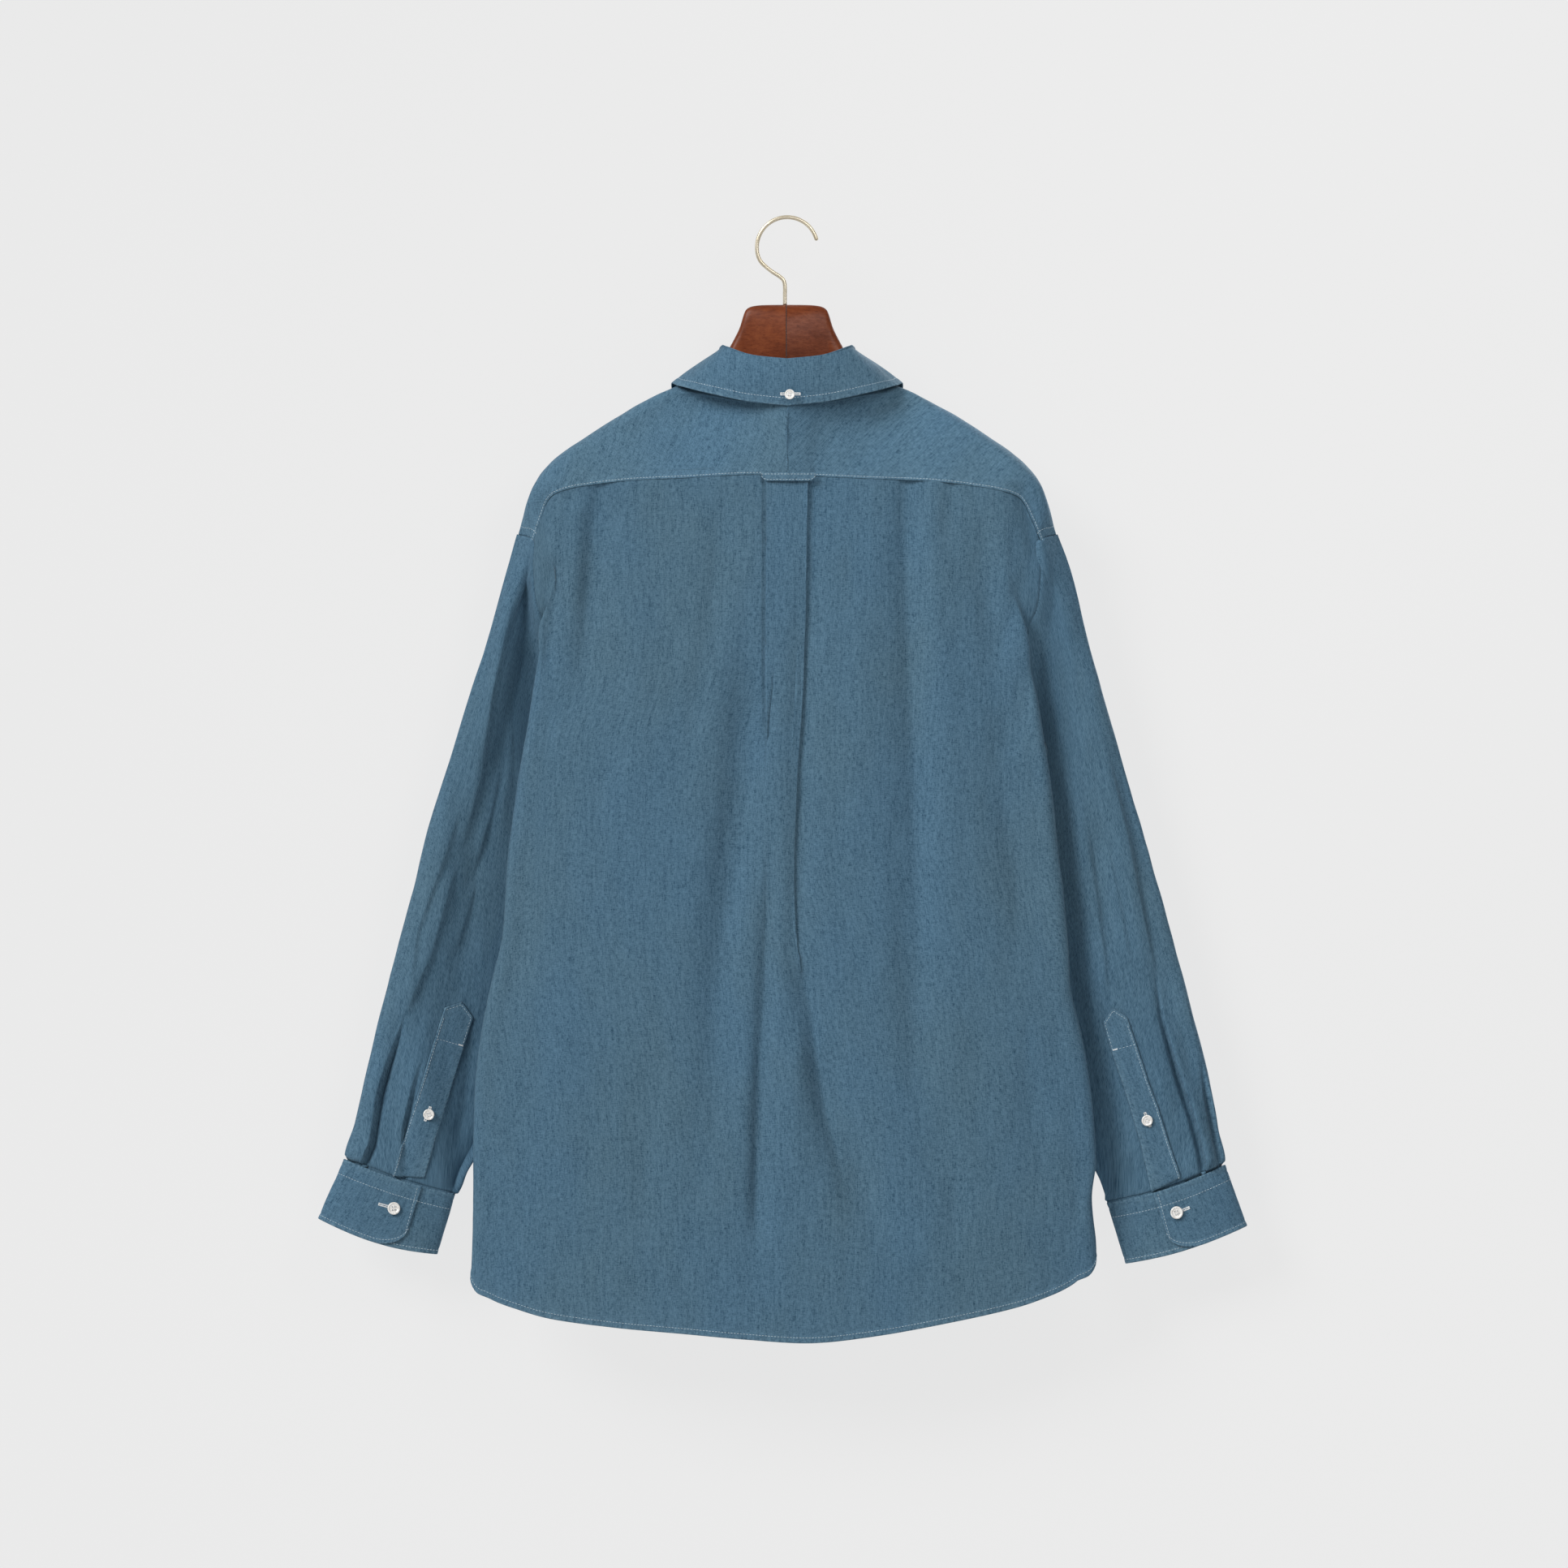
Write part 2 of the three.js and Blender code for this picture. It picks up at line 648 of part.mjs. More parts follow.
// A point within reach of the centre line, on either side of it
function centrePoint(side, edges, x, down) {
  const middle = frontPoint(edges, 1, down);
  const beside = frontPoint(edges, NEAR_CENTRE, down);
  const point = middle.lerp(beside, Math.abs(x / beside.x));
  return V(x, point.y + frontLift(side, x), point.z);
}

function buildFront(side) {
  const edges = frontEdges(side);
  const shoulder = steps(SHOULDER_COLUMNS).map((share) => share * SHOULDER_SHARE);
  const neck = [0.7, 0.8, NEAR_CENTRE];
  const grid = steps(19).map((down) => [
    ...[...shoulder, ...neck].map((across) => {
      const point = frontPoint(edges, across, down);
      point.y += frontLift(side, point.x);
      return point;
    }),
    centrePoint(side, edges, 0, down),
    centrePoint(side, edges, -side.sign * CENTRE_OVERLAP, down),
  ]);
  add(`front_${side.name}`, wall(grid, { inward: side.sign }), cloth);
}

// The sleeve as rings between its outer and inner edges
function sleeveRing(side, along, turn, out = 0) {
  const cuff = CUFF[side.name];
  const outerZ = lerp(SLEEVE_TOP_Z, cuff.topOuterZ, along);
  const innerZ = lerp(UNDERARM_Z, cuff.topInnerZ, along);
  const outerX = read(SLEEVE_OUTER, 'z', side.name, outerZ);
  const innerX = read(SLEEVE_INNER, 'z', side.name, innerZ);
  const across = (1 - Math.cos(turn)) / 2;
  const sag = cuff.topSag * Math.sin(Math.PI * across) * smooth(0.7, 1, along);
  const point = V(
    side.sign * lerp(outerX, innerX, across),
    lerp(read(SLEEVE_LIE, 'along', 'outerY', along), read(SLEEVE_LIE, 'along', 'innerY', along), across),
    lerp(outerZ, innerZ, across) - sag,
  );
  const settled = smooth(0, SLEEVE_SETTLED, along);
  const face = turn <= Math.PI ? 'back' : 'front';
  const atSeam = armhole(side.sign, across, face);
  const straight = armhole(side.sign, 0, 'back').lerp(armhole(side.sign, 1, 'back'), across);
  const swell = read(SLEEVE_LIE, 'along', 'depth', along) + out;
  const bulge = V(0, -swell * Math.sign(Math.sin(turn)) * Math.abs(Math.sin(turn)) ** 0.8, 0);
  point.addScaledVector(atSeam.sub(straight), 1 - settled);
  point.addScaledVector(bulge, settled);
  point.x += side.sign * SLEEVE_GAP * (1 - settled);
  point.y += (face === 'back' ? 1.5 : 2.4) * SLEEVE_GAP * across * (1 - settled);
  return point;
}

const lastOf = (rows) => rows[rows.length - 1];

function cuffRing(side, along, turn, out = 0) {
  const cuff = CUFF[side.name];
  const across = (1 - Math.cos(turn)) / 2;
  const topX = lerp(lastOf(SLEEVE_OUTER)[side.name], lastOf(SLEEVE_INNER)[side.name], across);
  const endX = lerp(cuff.endOuterX, cuff.endInnerX, across);
  const topZ = lerp(cuff.topOuterZ, cuff.topInnerZ, across);
  const endZ = lerp(cuff.endOuterZ, cuff.endInnerZ, across);
  const sag = lerp(cuff.topSag, cuff.endSag, along) * Math.sin(Math.PI * across);
  const swell = lerp(CUFF_DEPTH_TOP, CUFF_DEPTH_END, along) + out;
  return V(
    side.sign * (lerp(topX, endX, along) + out * Math.cos(turn)),
    CUFF_TOP_Y - swell * Math.sign(Math.sin(turn)) * Math.abs(Math.sin(turn)) ** 0.8,
    lerp(topZ, endZ, along) - sag,
  );
}

const FULL_TURN = 2 * Math.PI;

function buildSleeve(side) {
  const turns = steps(20).slice(0, -1).map((share) => share * FULL_TURN);
  const grid = steps(16).map((along) => turns.map((turn) => sleeveRing(side, along, turn)));
  add(`sleeve_${side.name}`, wall(grid, { inward: -side.sign, closed: true }), cloth);
}

function buildCuff(side) {
  const cuff = CUFF[side.name];
  const turnAt = (across) => Math.acos(1 - 2 * across);
  const start = turnAt(cuff.freeEdge - CUFF_UNDERLAP);
  const end = FULL_TURN + turnAt(cuff.freeEdge);
  const grid = steps(4).map((down) => steps(30).map((share) => {
    const turn = lerp(start, end, share);
    const out = 1 + LAYER * 1.15 * smooth(FULL_TURN * 0.5, FULL_TURN + start - 0.1, turn);
    const fromEnd = Math.max(0, 1 - (1 - share) / CUFF_ROUNDING);
    const length = 1 - 0.45 * (1 - Math.sqrt(1 - fromEnd ** 2 * 0.98));
    return cuffRing(side, lerp(CUFF_START, 1, down * length), turn, out);
  }));
  add(`cuff_${side.name}`, wall(grid, { inward: -side.sign }), cloth);
}

// Where a visible point of the sleeve or cuff lies: its share along and its turn, found by stepping closer
function find(ring, side, x, z) {
  let along = 0.8;
  let across = 0.5;
  for (let i = 0; i < 30; i += 1) {
    const turn = Math.acos(1 - 2 * across);
    const here = ring(side, along, turn);
    const later = ring(side, along + 0.001, turn);
    const wider = ring(side, along, Math.acos(1 - 2 * (across + 0.001)));
    const a = (later.x - here.x) / 0.001;
    const b = (wider.x - here.x) / 0.001;
    const c = (later.z - here.z) / 0.001;
    const d = (wider.z - here.z) / 0.001;
    const det = a * d - b * c;
    const dx = x - here.x;
    const dz = z - here.z;
    along += (d * dx - b * dz) / det;
    across = Math.min(0.97, Math.max(0.03, across + (a * dz - c * dx) / det));
  }
  return { along, turn: Math.acos(1 - 2 * across) };
}

function buildTower(side) {
  const t = TOWER[side.name];
  const rows = [
    [t.apexX - 1, t.apexZ, t.apexX + 1, t.apexZ],
    [
      lerp(t.boxLeftX, t.apexX, 0.35), lerp(t.boxLeftZ, t.apexZ, 0.75),
      lerp(t.boxRightX, t.apexX, -0.1), lerp(t.boxRightZ, t.apexZ, 0.5),
    ],
    [t.boxLeftX, t.boxLeftZ, t.boxRightX, t.boxRightZ],
    ...[0.2, 0.4, 0.6, 0.8, 0.98].map((s) => [
      lerp(t.boxLeftX, t.endLeftX, s), lerp(t.boxLeftZ, t.endLeftZ, s),
      lerp(t.boxRightX, t.endRightX, s), lerp(t.boxRightZ, t.endRightZ, s),
    ]),
  ];
  if (side.sign > 0) rows[0] = [t.apexX + 1, t.apexZ, t.apexX - 1, t.apexZ];
  const grid = rows.map(([leftX, leftZ, rightX, rightZ]) => steps(4).map((across) => {
    const place = find(sleeveRing, side, lerp(leftX, rightX, across), lerp(leftZ, rightZ, across));
    const point = sleeveRing(side, place.along, place.turn);
    point.y -= LAYER + PLACKET_LIFT;
    return point;
  }));
  add(`sleeve_placket_${side.name}`, wall(grid, { inward: -side.sign }), cloth);
}

// The stand runs once round the neck, its wearer's left end over its right
function standPoint(side, turn, up) {
  const foot = collarPoint(side, turn, 'foot', 0);
  const fold = collarPoint(side, turn, 'fold', -LEAF_ROLL - LAYER);
  fold.z -= LAYER;
  const lap = smooth(0.86, 1, turn);
  const point = foot.lerp(fold, up);
  point.x -= side.sign * STAND_OVERLAP * lap;
  point.z += STAND_OVERLAP * 0.5 * smooth(0.3, 1, lap);
  point.y += side.sign < 0 ? LAYER * lap * 1.4 : 0;
  return point;
}

function buildStand() {
  const around = steps(32).map((share) => lerp(-1, 1, share));
  const point = (share, up) => standPoint(sides[share < 0 ? 1 : 0], Math.abs(share), up);
  const grid = steps(2).map((up) => around.map((share) => point(share, up)));
  add('collar_stand', wall(grid), cloth);
}

// The leaf rolls over the fold and falls to its edge
function buildLeaf() {
  const across = steps(30).map((share) => lerp(-1, 1, share));
  const grid = [0, 1, 2, 3, 4, 5].map((k) => across.map((around) => {
    const side = around < 0 ? sides[1] : sides[0];
    const turn = Math.abs(around);
    const fold = collarPoint(side, turn, 'fold', 0);
    const inside = collarPoint(side, turn, 'fold', -LEAF_ROLL);
    const edge = collarPoint(side, turn, 'edge', 0);
    if (k === 0) return inside.add(V(0, 0, -1));
    if (k === 1) return inside.lerp(fold, 0.5).add(V(0, 0, 1));
    const down = (k - 2) / 3;
    const point = fold.clone().lerp(edge, down);
    const puff = Math.sin(Math.PI * down) * 2.5;
    point.y += Math.sign(fold.y || -1) * puff * Math.abs(fold.y) / 50;
    return point;
  }));
  add('collar_leaf', wall(grid, { inward: -1 }), cloth);
}

// A strip along the centre front, made from the left front's own points
function buildPlacket() {
  const side = sides[0];
  const edges = frontEdges(side);
  const grid = steps(18).map((down) => steps(2).map((across) => {
    const x = lerp(CENTRE_OVERLAP, -CENTRE_OVERLAP, across);
    return centrePoint(side, edges, x, lerp(0.004, 0.996, down)).add(V(0, LAYER + 0.2, 0));
  }));
  add('front_placket', wall(grid), cloth);
}

function buildLoop() {
  const grid = [-1, 1].map((down) => steps(10).map((share) => {
    const x = lerp(-LOOP_HALF_LENGTH, LOOP_HALF_LENGTH, share) + 1;
    const ends = smooth(0, 0.12, share) * (1 - smooth(0.88, 1, share));
    const lift = LAYER + 0.6 + 1.6 * Math.sin(Math.PI * share) * ends;
    return V(x, backY(x, LOOP_Z - 4.5) - lift, LOOP_Z - LOOP_HALF_HEIGHT * down);
  }));
  add('locker_loop', wall(grid), cloth);
}

function button(name, diameter, place, normal) {
  const radius = diameter / 2;
  const profile = [
    [0, 0], [radius * 0.75, 0], [radius, BUTTON_THICKNESS * 0.45], [radius * 0.94, BUTTON_THICKNESS],
    [radius * 0.66, BUTTON_THICKNESS], [radius * 0.6, BUTTON_THICKNESS * 0.72], [0, BUTTON_THICKNESS * 0.72],
  ].map(([r, h]) => new THREE.Vector2(r, h));
  const geometry = new THREE.LatheGeometry(profile, 10);
  const mesh = add(name, geometry, buttonShell);
  mesh.quaternion.setFromUnitVectors(V(0, 1, 0), normal.clone().normalize());
  mesh.position.copy(place);
}

function faceNormal(centre, right, below) {
  return right.clone().sub(centre).cross(below.clone().sub(centre)).normalize();
}

function buildButtons() {
  const lift = 0.35;
  for (const side of sides) {
    const cuff = CUFF[side.name];
    const tower = TOWER[side.name];
    for (const [name, ring, spot, out, stand, diameter] of [
      [`button_cuff_${side.name}`, cuffRing, cuff.button, 1 + LAYER * 1.15, lift, CUFF_BUTTON],
      [`button_sleeve_${side.name}`, sleeveRing, tower.button, 0, LAYER + PLACKET_LIFT + lift, FRONT_BUTTON],
    ]) {
      const at = find(ring, side, spot[0], spot[1]);
      const here = ring(side, at.along, at.turn, out);
      const right = ring(side, at.along, at.turn - side.sign * 0.05, out);
      const below = ring(side, at.along + 0.01, at.turn, out);
      const normal = faceNormal(here, right, below);
      if (normal.y > 0) normal.negate();
      here.y -= stand;
      button(name, diameter, here.addScaledVector(normal, SEAM_GAP), normal);
    }
  }
  button('button_collar_back', COLLAR_BUTTON, V(2.1, -51.5, -152.7), V(0, -1, 0.05));
  for (const side of sides) {
    const point = collarPoint(side, POINT_BUTTON_TURN, 'edge', 0);
    point.lerp(collarPoint(side, POINT_BUTTON_TURN, 'fold', 0), 0.17);
    button(`button_point_${side.name}`, COLLAR_BUTTON, point.add(V(0, 1.6, 0)), V(side.sign * 0.1, 1, 0));
  }
  const onStand = standPoint(sides[0], STAND_BUTTON_TURN, 0.45).add(V(0, 1.1, 0));
  button('button_stand', FRONT_BUTTON, onStand, V(0, 1, -0.1));
  const edges = frontEdges(sides[0]);
  const topZ = edges.centre(0).z;
  for (let i = 0; i < FRONT_BUTTON_COUNT; i += 1) {
    const down = (FRONT_BUTTON_TOP - i * FRONT_BUTTON_PITCH - topZ) / (FRONT_HEM_Z - topZ);
    const place = centrePoint(sides[0], edges, 0, down);
    const below = centrePoint(sides[0], edges, 0, down + 0.01).sub(place);
    const normal = V(0, -below.z, below.y).normalize();
    const clear = LAYER + (i === 0 ? 1.4 : 0.8);
    button(`button_front_${i + 1}`, FRONT_BUTTON, place.addScaledVector(normal, clear), normal);
  }
}

// One half of the wooden hanger, as sections from the centre seam out to the end
const WOOD = [
  { reach: 0, top: -74.5, foot: -172, depth: 10.5 },
  { reach: 20, top: -75, foot: -171, depth: 8.5 },
  { reach: 33, top: -76.5, foot: -171, depth: 7 },
  { reach: 37, top: -82, foot: -172, depth: 6.8 },
  { reach: 41, top: -94, foot: -173, depth: 7.2 },
  { reach: 49, top: -112, foot: -175, depth: 7.8 },
  { reach: 55, top: -131, foot: -177, depth: 8.6 },
  { reach: 68, top: -141, foot: -181, depth: 10.5 },
  { reach: 95, top: -148.3, foot: -188, depth: 12 },
  { reach: 130, top: -164.5, foot: -203, depth: 14.5 },
  { reach: 168, top: -187.4, foot: -222, depth: 17.4 },
  { reach: 196, top: -207, foot: -238, depth: 18.4 },
  { reach: 204, top: -215, foot: -237, depth: 16 },
  { reach: HANGER_REACH, top: -221, foot: -233, depth: 9 },
];

function buildHanger(side) {
  const around = 14;
  const points = [];
  const triangles = [];
  for (const row of WOOD) {
    const middle = (row.top + row.foot) / 2;
    const half = (row.top - row.foot) / 2;
    for (let i = 0; i < around; i += 1) {
      const angle = (FULL_TURN * (i + 0.5)) / around;
      points.push(V(
        side.sign * Math.max(row.reach, HALF_SEAM),
        row.depth * Math.sin(angle),
        middle + (half * Math.cos(angle)) / Math.cos(Math.PI / around),
      ));
    }
  }
  const last = WOOD.length - 1;
  for (let j = 0; j < last; j += 1) {
    for (let i = 0; i < around; i += 1) {
      const a = j * around + i;
      const b = j * around + ((i + 1) % around);
      triangles.push([a, b, b + around], [a, b + around, a + around]);
    }
  }
  for (let i = 1; i < around - 1; i += 1) {
    triangles.push([0, i + 1, i]);
    triangles.push([last * around, last * around + i, last * around + i + 1]);
  }
  add(`hanger_${side.name}`, body(points, triangles), wood);
}

// The hook's slanted run back to the centre, and its shank: across and up
const HOOK_NECK = [
  [-22.4, -37.2], [-19.2, -40.5], [-13, -45.4], [-6.8, -49.4], [-3.2, -52.9], [-2, -58], [-2, -66],
];

// The wire hook: an open ring, a slanted run back to the centre and a shank down to the wood
function buildHook() {
  const spots = [];
  for (const share of steps(HOOK_STEPS)) {
    const turn = THREE.MathUtils.degToRad(lerp(HOOK_TIP_ANGLE, HOOK_LOW_ANGLE, share));
    spots.push(V(HOOK_RADIUS * Math.cos(turn), 0, HOOK_CENTRE_Z + HOOK_RADIUS * Math.sin(turn)));
  }
  for (const [x, z] of HOOK_NECK) spots.push(V(x, 0, z));
  spots.push(V(lastOf(HOOK_NECK)[0], 0, WOOD_TOP + SEAM_GAP));
  const path = new THREE.CatmullRomCurve3(spots);
  const section = new THREE.Shape();
  const facets = 8;
  for (let i = 0; i < facets; i += 1) {
    const angle = (FULL_TURN * i) / facets;
    const x = WIRE * Math.cos(angle);
    const y = WIRE * Math.sin(angle);
    if (i === 0) section.moveTo(x, y);
    else section.lineTo(x, y);
  }
  section.closePath();
  const settings = { steps: 38, extrudePath: path, bevelEnabled: false };
  add('hook', new THREE.ExtrudeGeometry(section, settings), metal);
}

buildBack();
for (const side of sides) {
  buildYoke(side);
  buildFront(side);
  buildSleeve(side);
  buildCuff(side);
  buildTower(side);
  buildHanger(side);
}
buildStand();
buildLeaf();
buildPlacket();
buildLoop();
buildButtons();
buildHook();

export default shirt;
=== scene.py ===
# A denim shirt on a wooden hanger, seen from the back. Shapes are worked out in millimetres
# and become metres when a mesh is made. +Z is up, and the shirt's back faces -Y.
import bmesh
import bpy
import math
import numpy as np
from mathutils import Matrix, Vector
from mathutils.bvhtree import BVHTree


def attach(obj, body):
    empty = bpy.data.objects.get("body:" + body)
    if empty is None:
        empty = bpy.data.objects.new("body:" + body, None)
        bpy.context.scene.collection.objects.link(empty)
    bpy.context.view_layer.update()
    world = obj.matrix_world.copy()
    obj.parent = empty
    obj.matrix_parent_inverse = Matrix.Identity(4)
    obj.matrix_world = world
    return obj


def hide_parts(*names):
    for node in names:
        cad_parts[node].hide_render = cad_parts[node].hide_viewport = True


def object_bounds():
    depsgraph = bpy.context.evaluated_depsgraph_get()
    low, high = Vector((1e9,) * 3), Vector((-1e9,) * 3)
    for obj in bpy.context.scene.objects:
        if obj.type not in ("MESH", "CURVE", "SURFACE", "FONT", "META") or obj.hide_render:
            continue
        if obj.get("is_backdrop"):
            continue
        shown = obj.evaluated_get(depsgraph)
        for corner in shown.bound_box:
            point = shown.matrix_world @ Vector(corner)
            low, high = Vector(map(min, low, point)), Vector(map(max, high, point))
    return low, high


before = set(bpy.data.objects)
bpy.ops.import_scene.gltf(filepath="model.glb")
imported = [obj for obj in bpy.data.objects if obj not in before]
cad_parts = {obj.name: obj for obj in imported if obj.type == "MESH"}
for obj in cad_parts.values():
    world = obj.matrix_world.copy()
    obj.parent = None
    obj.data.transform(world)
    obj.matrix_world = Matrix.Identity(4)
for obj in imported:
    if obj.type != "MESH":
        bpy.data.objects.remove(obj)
cad_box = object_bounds()

MM = 0.001
PICTURE_SCALE = 0.7     # millimetres of shirt to one pixel of the picture
PICTURE_ORIGIN = (970, 268)
CLOTH = 0.9             # the cloth's thickness
WALL = 1.2              # the solids' wall
SEAM_GAP = 0.3
LAYER = WALL + SEAM_GAP
HALF_SEAM = 0.15
FULL_TURN = 2 * math.pi


# Camera, far off because the picture shows hardly any perspective

CAMERA_PLACE = (-0.0028, -15.0, -0.4886)
CAMERA_LENS = 398.1
CAMERA_SENSOR = 36


def place_object(name, data, place=(0, 0, 0)):
    made = bpy.data.objects.new(name, data)
    made.location = place
    bpy.context.scene.collection.objects.link(made)
    return made


def make_camera():
    data = bpy.data.cameras.new("camera")
    data.sensor_width = CAMERA_SENSOR
    data.lens = CAMERA_LENS
    camera = place_object("camera", data, CAMERA_PLACE)
    camera.rotation_euler = (math.pi / 2, 0, 0)
    bpy.context.scene.camera = camera


make_camera()


# Driving tables, the same as the solids'

def table(columns, rows):
    return dict(zip(columns.split(), np.array(rows, float).T))


BODY_EDGE = table("z left right", [
    (-241, -208.6, 203), (-290, -217, 204), (-334, -218.5, 205.5), (-385, -216.6, 210.5),
    (-430, -222, 218), (-480, -232.5, 227), (-550, -243, 236), (-610, -247, 242.3),
    (-650, -256, 245), (-703, -266.5, 257), (-750, -270.5, 264), (-800, -272, 267.3),
    (-830, -271.5, 263.5), (-877, -272.5, 267.4), (-920, -275.5, 262),
])
BODY_DEPTH = table("z backMid backEdge seam frontMid", [
    (-150, -38, -24, 4, 44), (-222, -31, -22, 4, 43), (-300, -31, -17, 4, 29), (-400, -31, -14, 4, 26),
    (-480, -31, -13, 1, 24), (-560, -31, -13, -2, 22), (-700, -32, -13, -3, 20), (-975, -34, -14, -4, 17),
])
YOKE_SEAM = table("x z", [
    (-219.5, -277.5), (-212, -255), (-206, -241), (-194, -234), (-173, -229.6), (-138, -225.6),
    (-90, -223.3), (-37, -220.5), (0, -221), (73, -224), (127, -226.2), (171, -231.5),
    (192, -236), (203, -242), (211, -257), (219.5, -277.5),
])
BACK_HEM = table("x z", [
    (-276, -918), (-259, -932), (-231, -943), (-203, -950.6), (-147, -958), (-91, -963), (-35, -968),
    (21, -971), (77, -965), (133, -955), (189, -943), (217, -934.5), (245, -922), (259, -909), (268, -893),
])
SIDE_HEM = {"left": -900, "right": -884}
BACK_FOLDS = [  # topX, topZ, footX, footZ, width, depth
    (-160, -240, -178, -420, 14, 4), (-33, -380, -64, -800, 19, 5), (-17, -520, -27, -900, 10, 3),
    (17, -330, 8, -640, 12, 4.5), (10, -640, 72, -870, 20, 5), (97, -235, 113, -760, 16, 5),
    (164, -260, 205, -640, 18, 3),
]
ARMHOLE = table("down backX backY backZ frontX frontY frontZ", [
    (0, 232.5, 8, -272.5, 232.5, 8, -272.5), (0.08, 219.5, -8.5, -277.5, 226, 19.5, -279),
    (0.22, 219.5, -9, -302, 218, 22.5, -308), (0.38, 216, -7, -334, 214, 21.5, -345),
    (0.5, 208, -4.5, -356, 212, 19, -375), (0.7, 206, -1.5, -396, 210.5, 14, -412),
    (0.86, 212, 0, -440, 212.5, 7.5, -446), (1, 218, 2, -478, 218, 2, -478),
])
SHOULDER = [  # reach, seam, crown, depth, round
    (95, 58, -144.5, 13, 18), (130, 108, -161.5, 16, 18), (168, 156, -184.5, 18.5, 18),
    (204, 198, -210.5, 20, 16), (222, 210, -236, 16, 9),
]
SLEEVE_OUTER = table("z left right", [
    (-272.5, 232.5, 232.5), (-302, 241, 243.5), (-358, 257.6, 258.3), (-414, 275.8, 274.4),
    (-470, 293, 290.5), (-526, 310.8, 306.6), (-582, 324.8, 322.7), (-638, 339.5, 338.1),
    (-694, 354.2, 352.8), (-750, 367.5, 366.8), (-813, 381.5, 376.9),
])
SLEEVE_INNER = table("z left right", [
    (-478, 218, 218), (-500, 223, 221), (-530, 213, 210), (-570, 198, 194), (-620, 196, 192),
    (-680, 210, 206), (-740, 235, 230), (-800, 263, 255), (-844, 288.4, 277.7),
])
SLEEVE_LIE = table("along outerY innerY depth", [
    (0, 8, 4, 4), (0.06, 10, 13, 7), (0.14, 13, 19, 11), (0.3, 17, 21, 13), (0.6, 20, 22, 14),
    (0.9, 20, 22, 12), (1, 19, 21, 8.5),
])
CUFF = {
    "left": dict(topOuterZ=-813, topInnerZ=-844, topSag=2.6, endOuterX=403.9, endOuterZ=-864.5, endInnerX=304,
                 endInnerZ=-895.7, endSag=6, freeEdge=0.69),
    "right": dict(topOuterZ=-818, topInnerZ=-851, topSag=4.5, endOuterX=396, endOuterZ=-870.8, endInnerX=294,
                  endInnerZ=-903.7, endSag=4.5, freeEdge=0.6),
}
COLLAR = table("turn footX footY footZ foldX foldY foldZ edgeX edgeY edgeZ", [
    (0, 0, -43, -156.5, 0, -48.5, -123, 0, -45.6, -162),
    (0.2, 30, -39, -155, 31, -43, -119.5, 38, -42, -157.5),
    (0.4, 54, -24, -143, 53, -28, -112, 76, -33, -149),
    (0.5, 65, -9, -131, 58, -11, -109.5, 94, -16, -144),
    (0.6, 67, 9, -132, 58.5, 9, -111, 100, 8, -144.5),
    (0.8, 47, 34, -174, 43, 33, -148, 90, 35, -196),
    (1, 0, 43, -213, 8, 44, -184, 64, 42, -258),
])
WOOD = table("reach top foot depth", [
    (0, -74, -172, 10.5), (20, -74.3, -171, 8.5), (28, -75.1, -171, 7.5), (32.4, -76.5, -171, 7.1),
    (35.3, -79, -171.5, 6.9), (37, -83, -172, 6.8), (40.4, -94, -173, 7.2), (46.6, -106.6, -174.5, 7.6),
    (49.4, -112, -175, 7.8),
    (55, -131, -177, 8.6), (68, -141, -181, 10.5),
    (95, -148.3, -188, 12), (130, -164.5, -203, 14.5), (168, -187.4, -222, 17.4),
    (196, -207, -238, 18.4), (204, -215, -237, 16), (206, -221, -233, 9),
])
YOKE_CORNER = 0.08      # where the yoke ends, as a share of the way down the armhole
UNDERARM_X, UNDERARM_Y, UNDERARM_Z = 218, 2, -478
SLEEVE_TOP_Z = -272.5
SEAM_INSET = 10         # how far in from the outline the side seam lies
FOLD_INSET = 16         # and where the back's flat begins
PLEAT_RISE = 3
PLEAT_HALF = 18.2       # half the box pleat's width at the yoke seam
CENTRE_SEAM_Z = -221    # the yoke seam at the centre
FRONT_HEM_Z = -925
CENTRE_OVERLAP = 17.5
SHOULDER_SHARE = 0.6
NECK_TURN = 0.68
NEAR_CENTRE = 0.9
YOKE_BIAS = math.radians(32)
LEAF_ROLL = 2.2
SLEEVE_SETTLED = 0.22
SLEEVE_GAP = 1.5
STAND_OVERLAP = 11
LOOP_HALF = 22.6
CUFF_LAP = 0.27         # as a share of the cuff's width
JOINT_X = -0.8          # the joint between the hanger's halves
SIDES = {"left": -1, "right": 1}


# Reckoning

def lerp(a, b, share):
    return a + (b - a) * share


def smooth(start, end, at):
    t = np.clip((np.asarray(at, float) - start) / (end - start), 0, 1)
    return t * t * (3 - 2 * t)


def vec(x, y, z):
    return np.stack(np.broadcast_arrays(x, y, z), -1).astype(float)


def read(rows, key, column, at):
    """A smooth value of one column of a table, at given values of its key column."""
    k, v = rows[key], rows[column]
    if k[0] > k[-1]:
        k, v = k[::-1], v[::-1]
    spots = np.arange(len(k))
    before, after = np.maximum(spots - 1, 0), np.minimum(spots + 1, len(k) - 1)
    slope = (v[after] - v[before]) / (k[after] - k[before])
    at = np.clip(at, k[0], k[-1])
    i = np.clip(np.searchsorted(k, at, side="left") - 1, 0, len(k) - 2)
    span = k[i + 1] - k[i]
    t = (at - k[i]) / span
    t2, t3 = t ** 2, t ** 3
    return ((2 * t3 - 3 * t2 + 1) * v[i] + (t3 - 2 * t2 + t) * span * slope[i]
            + (3 * t2 - 2 * t3) * v[i + 1] + (t3 - t2) * span * slope[i + 1])


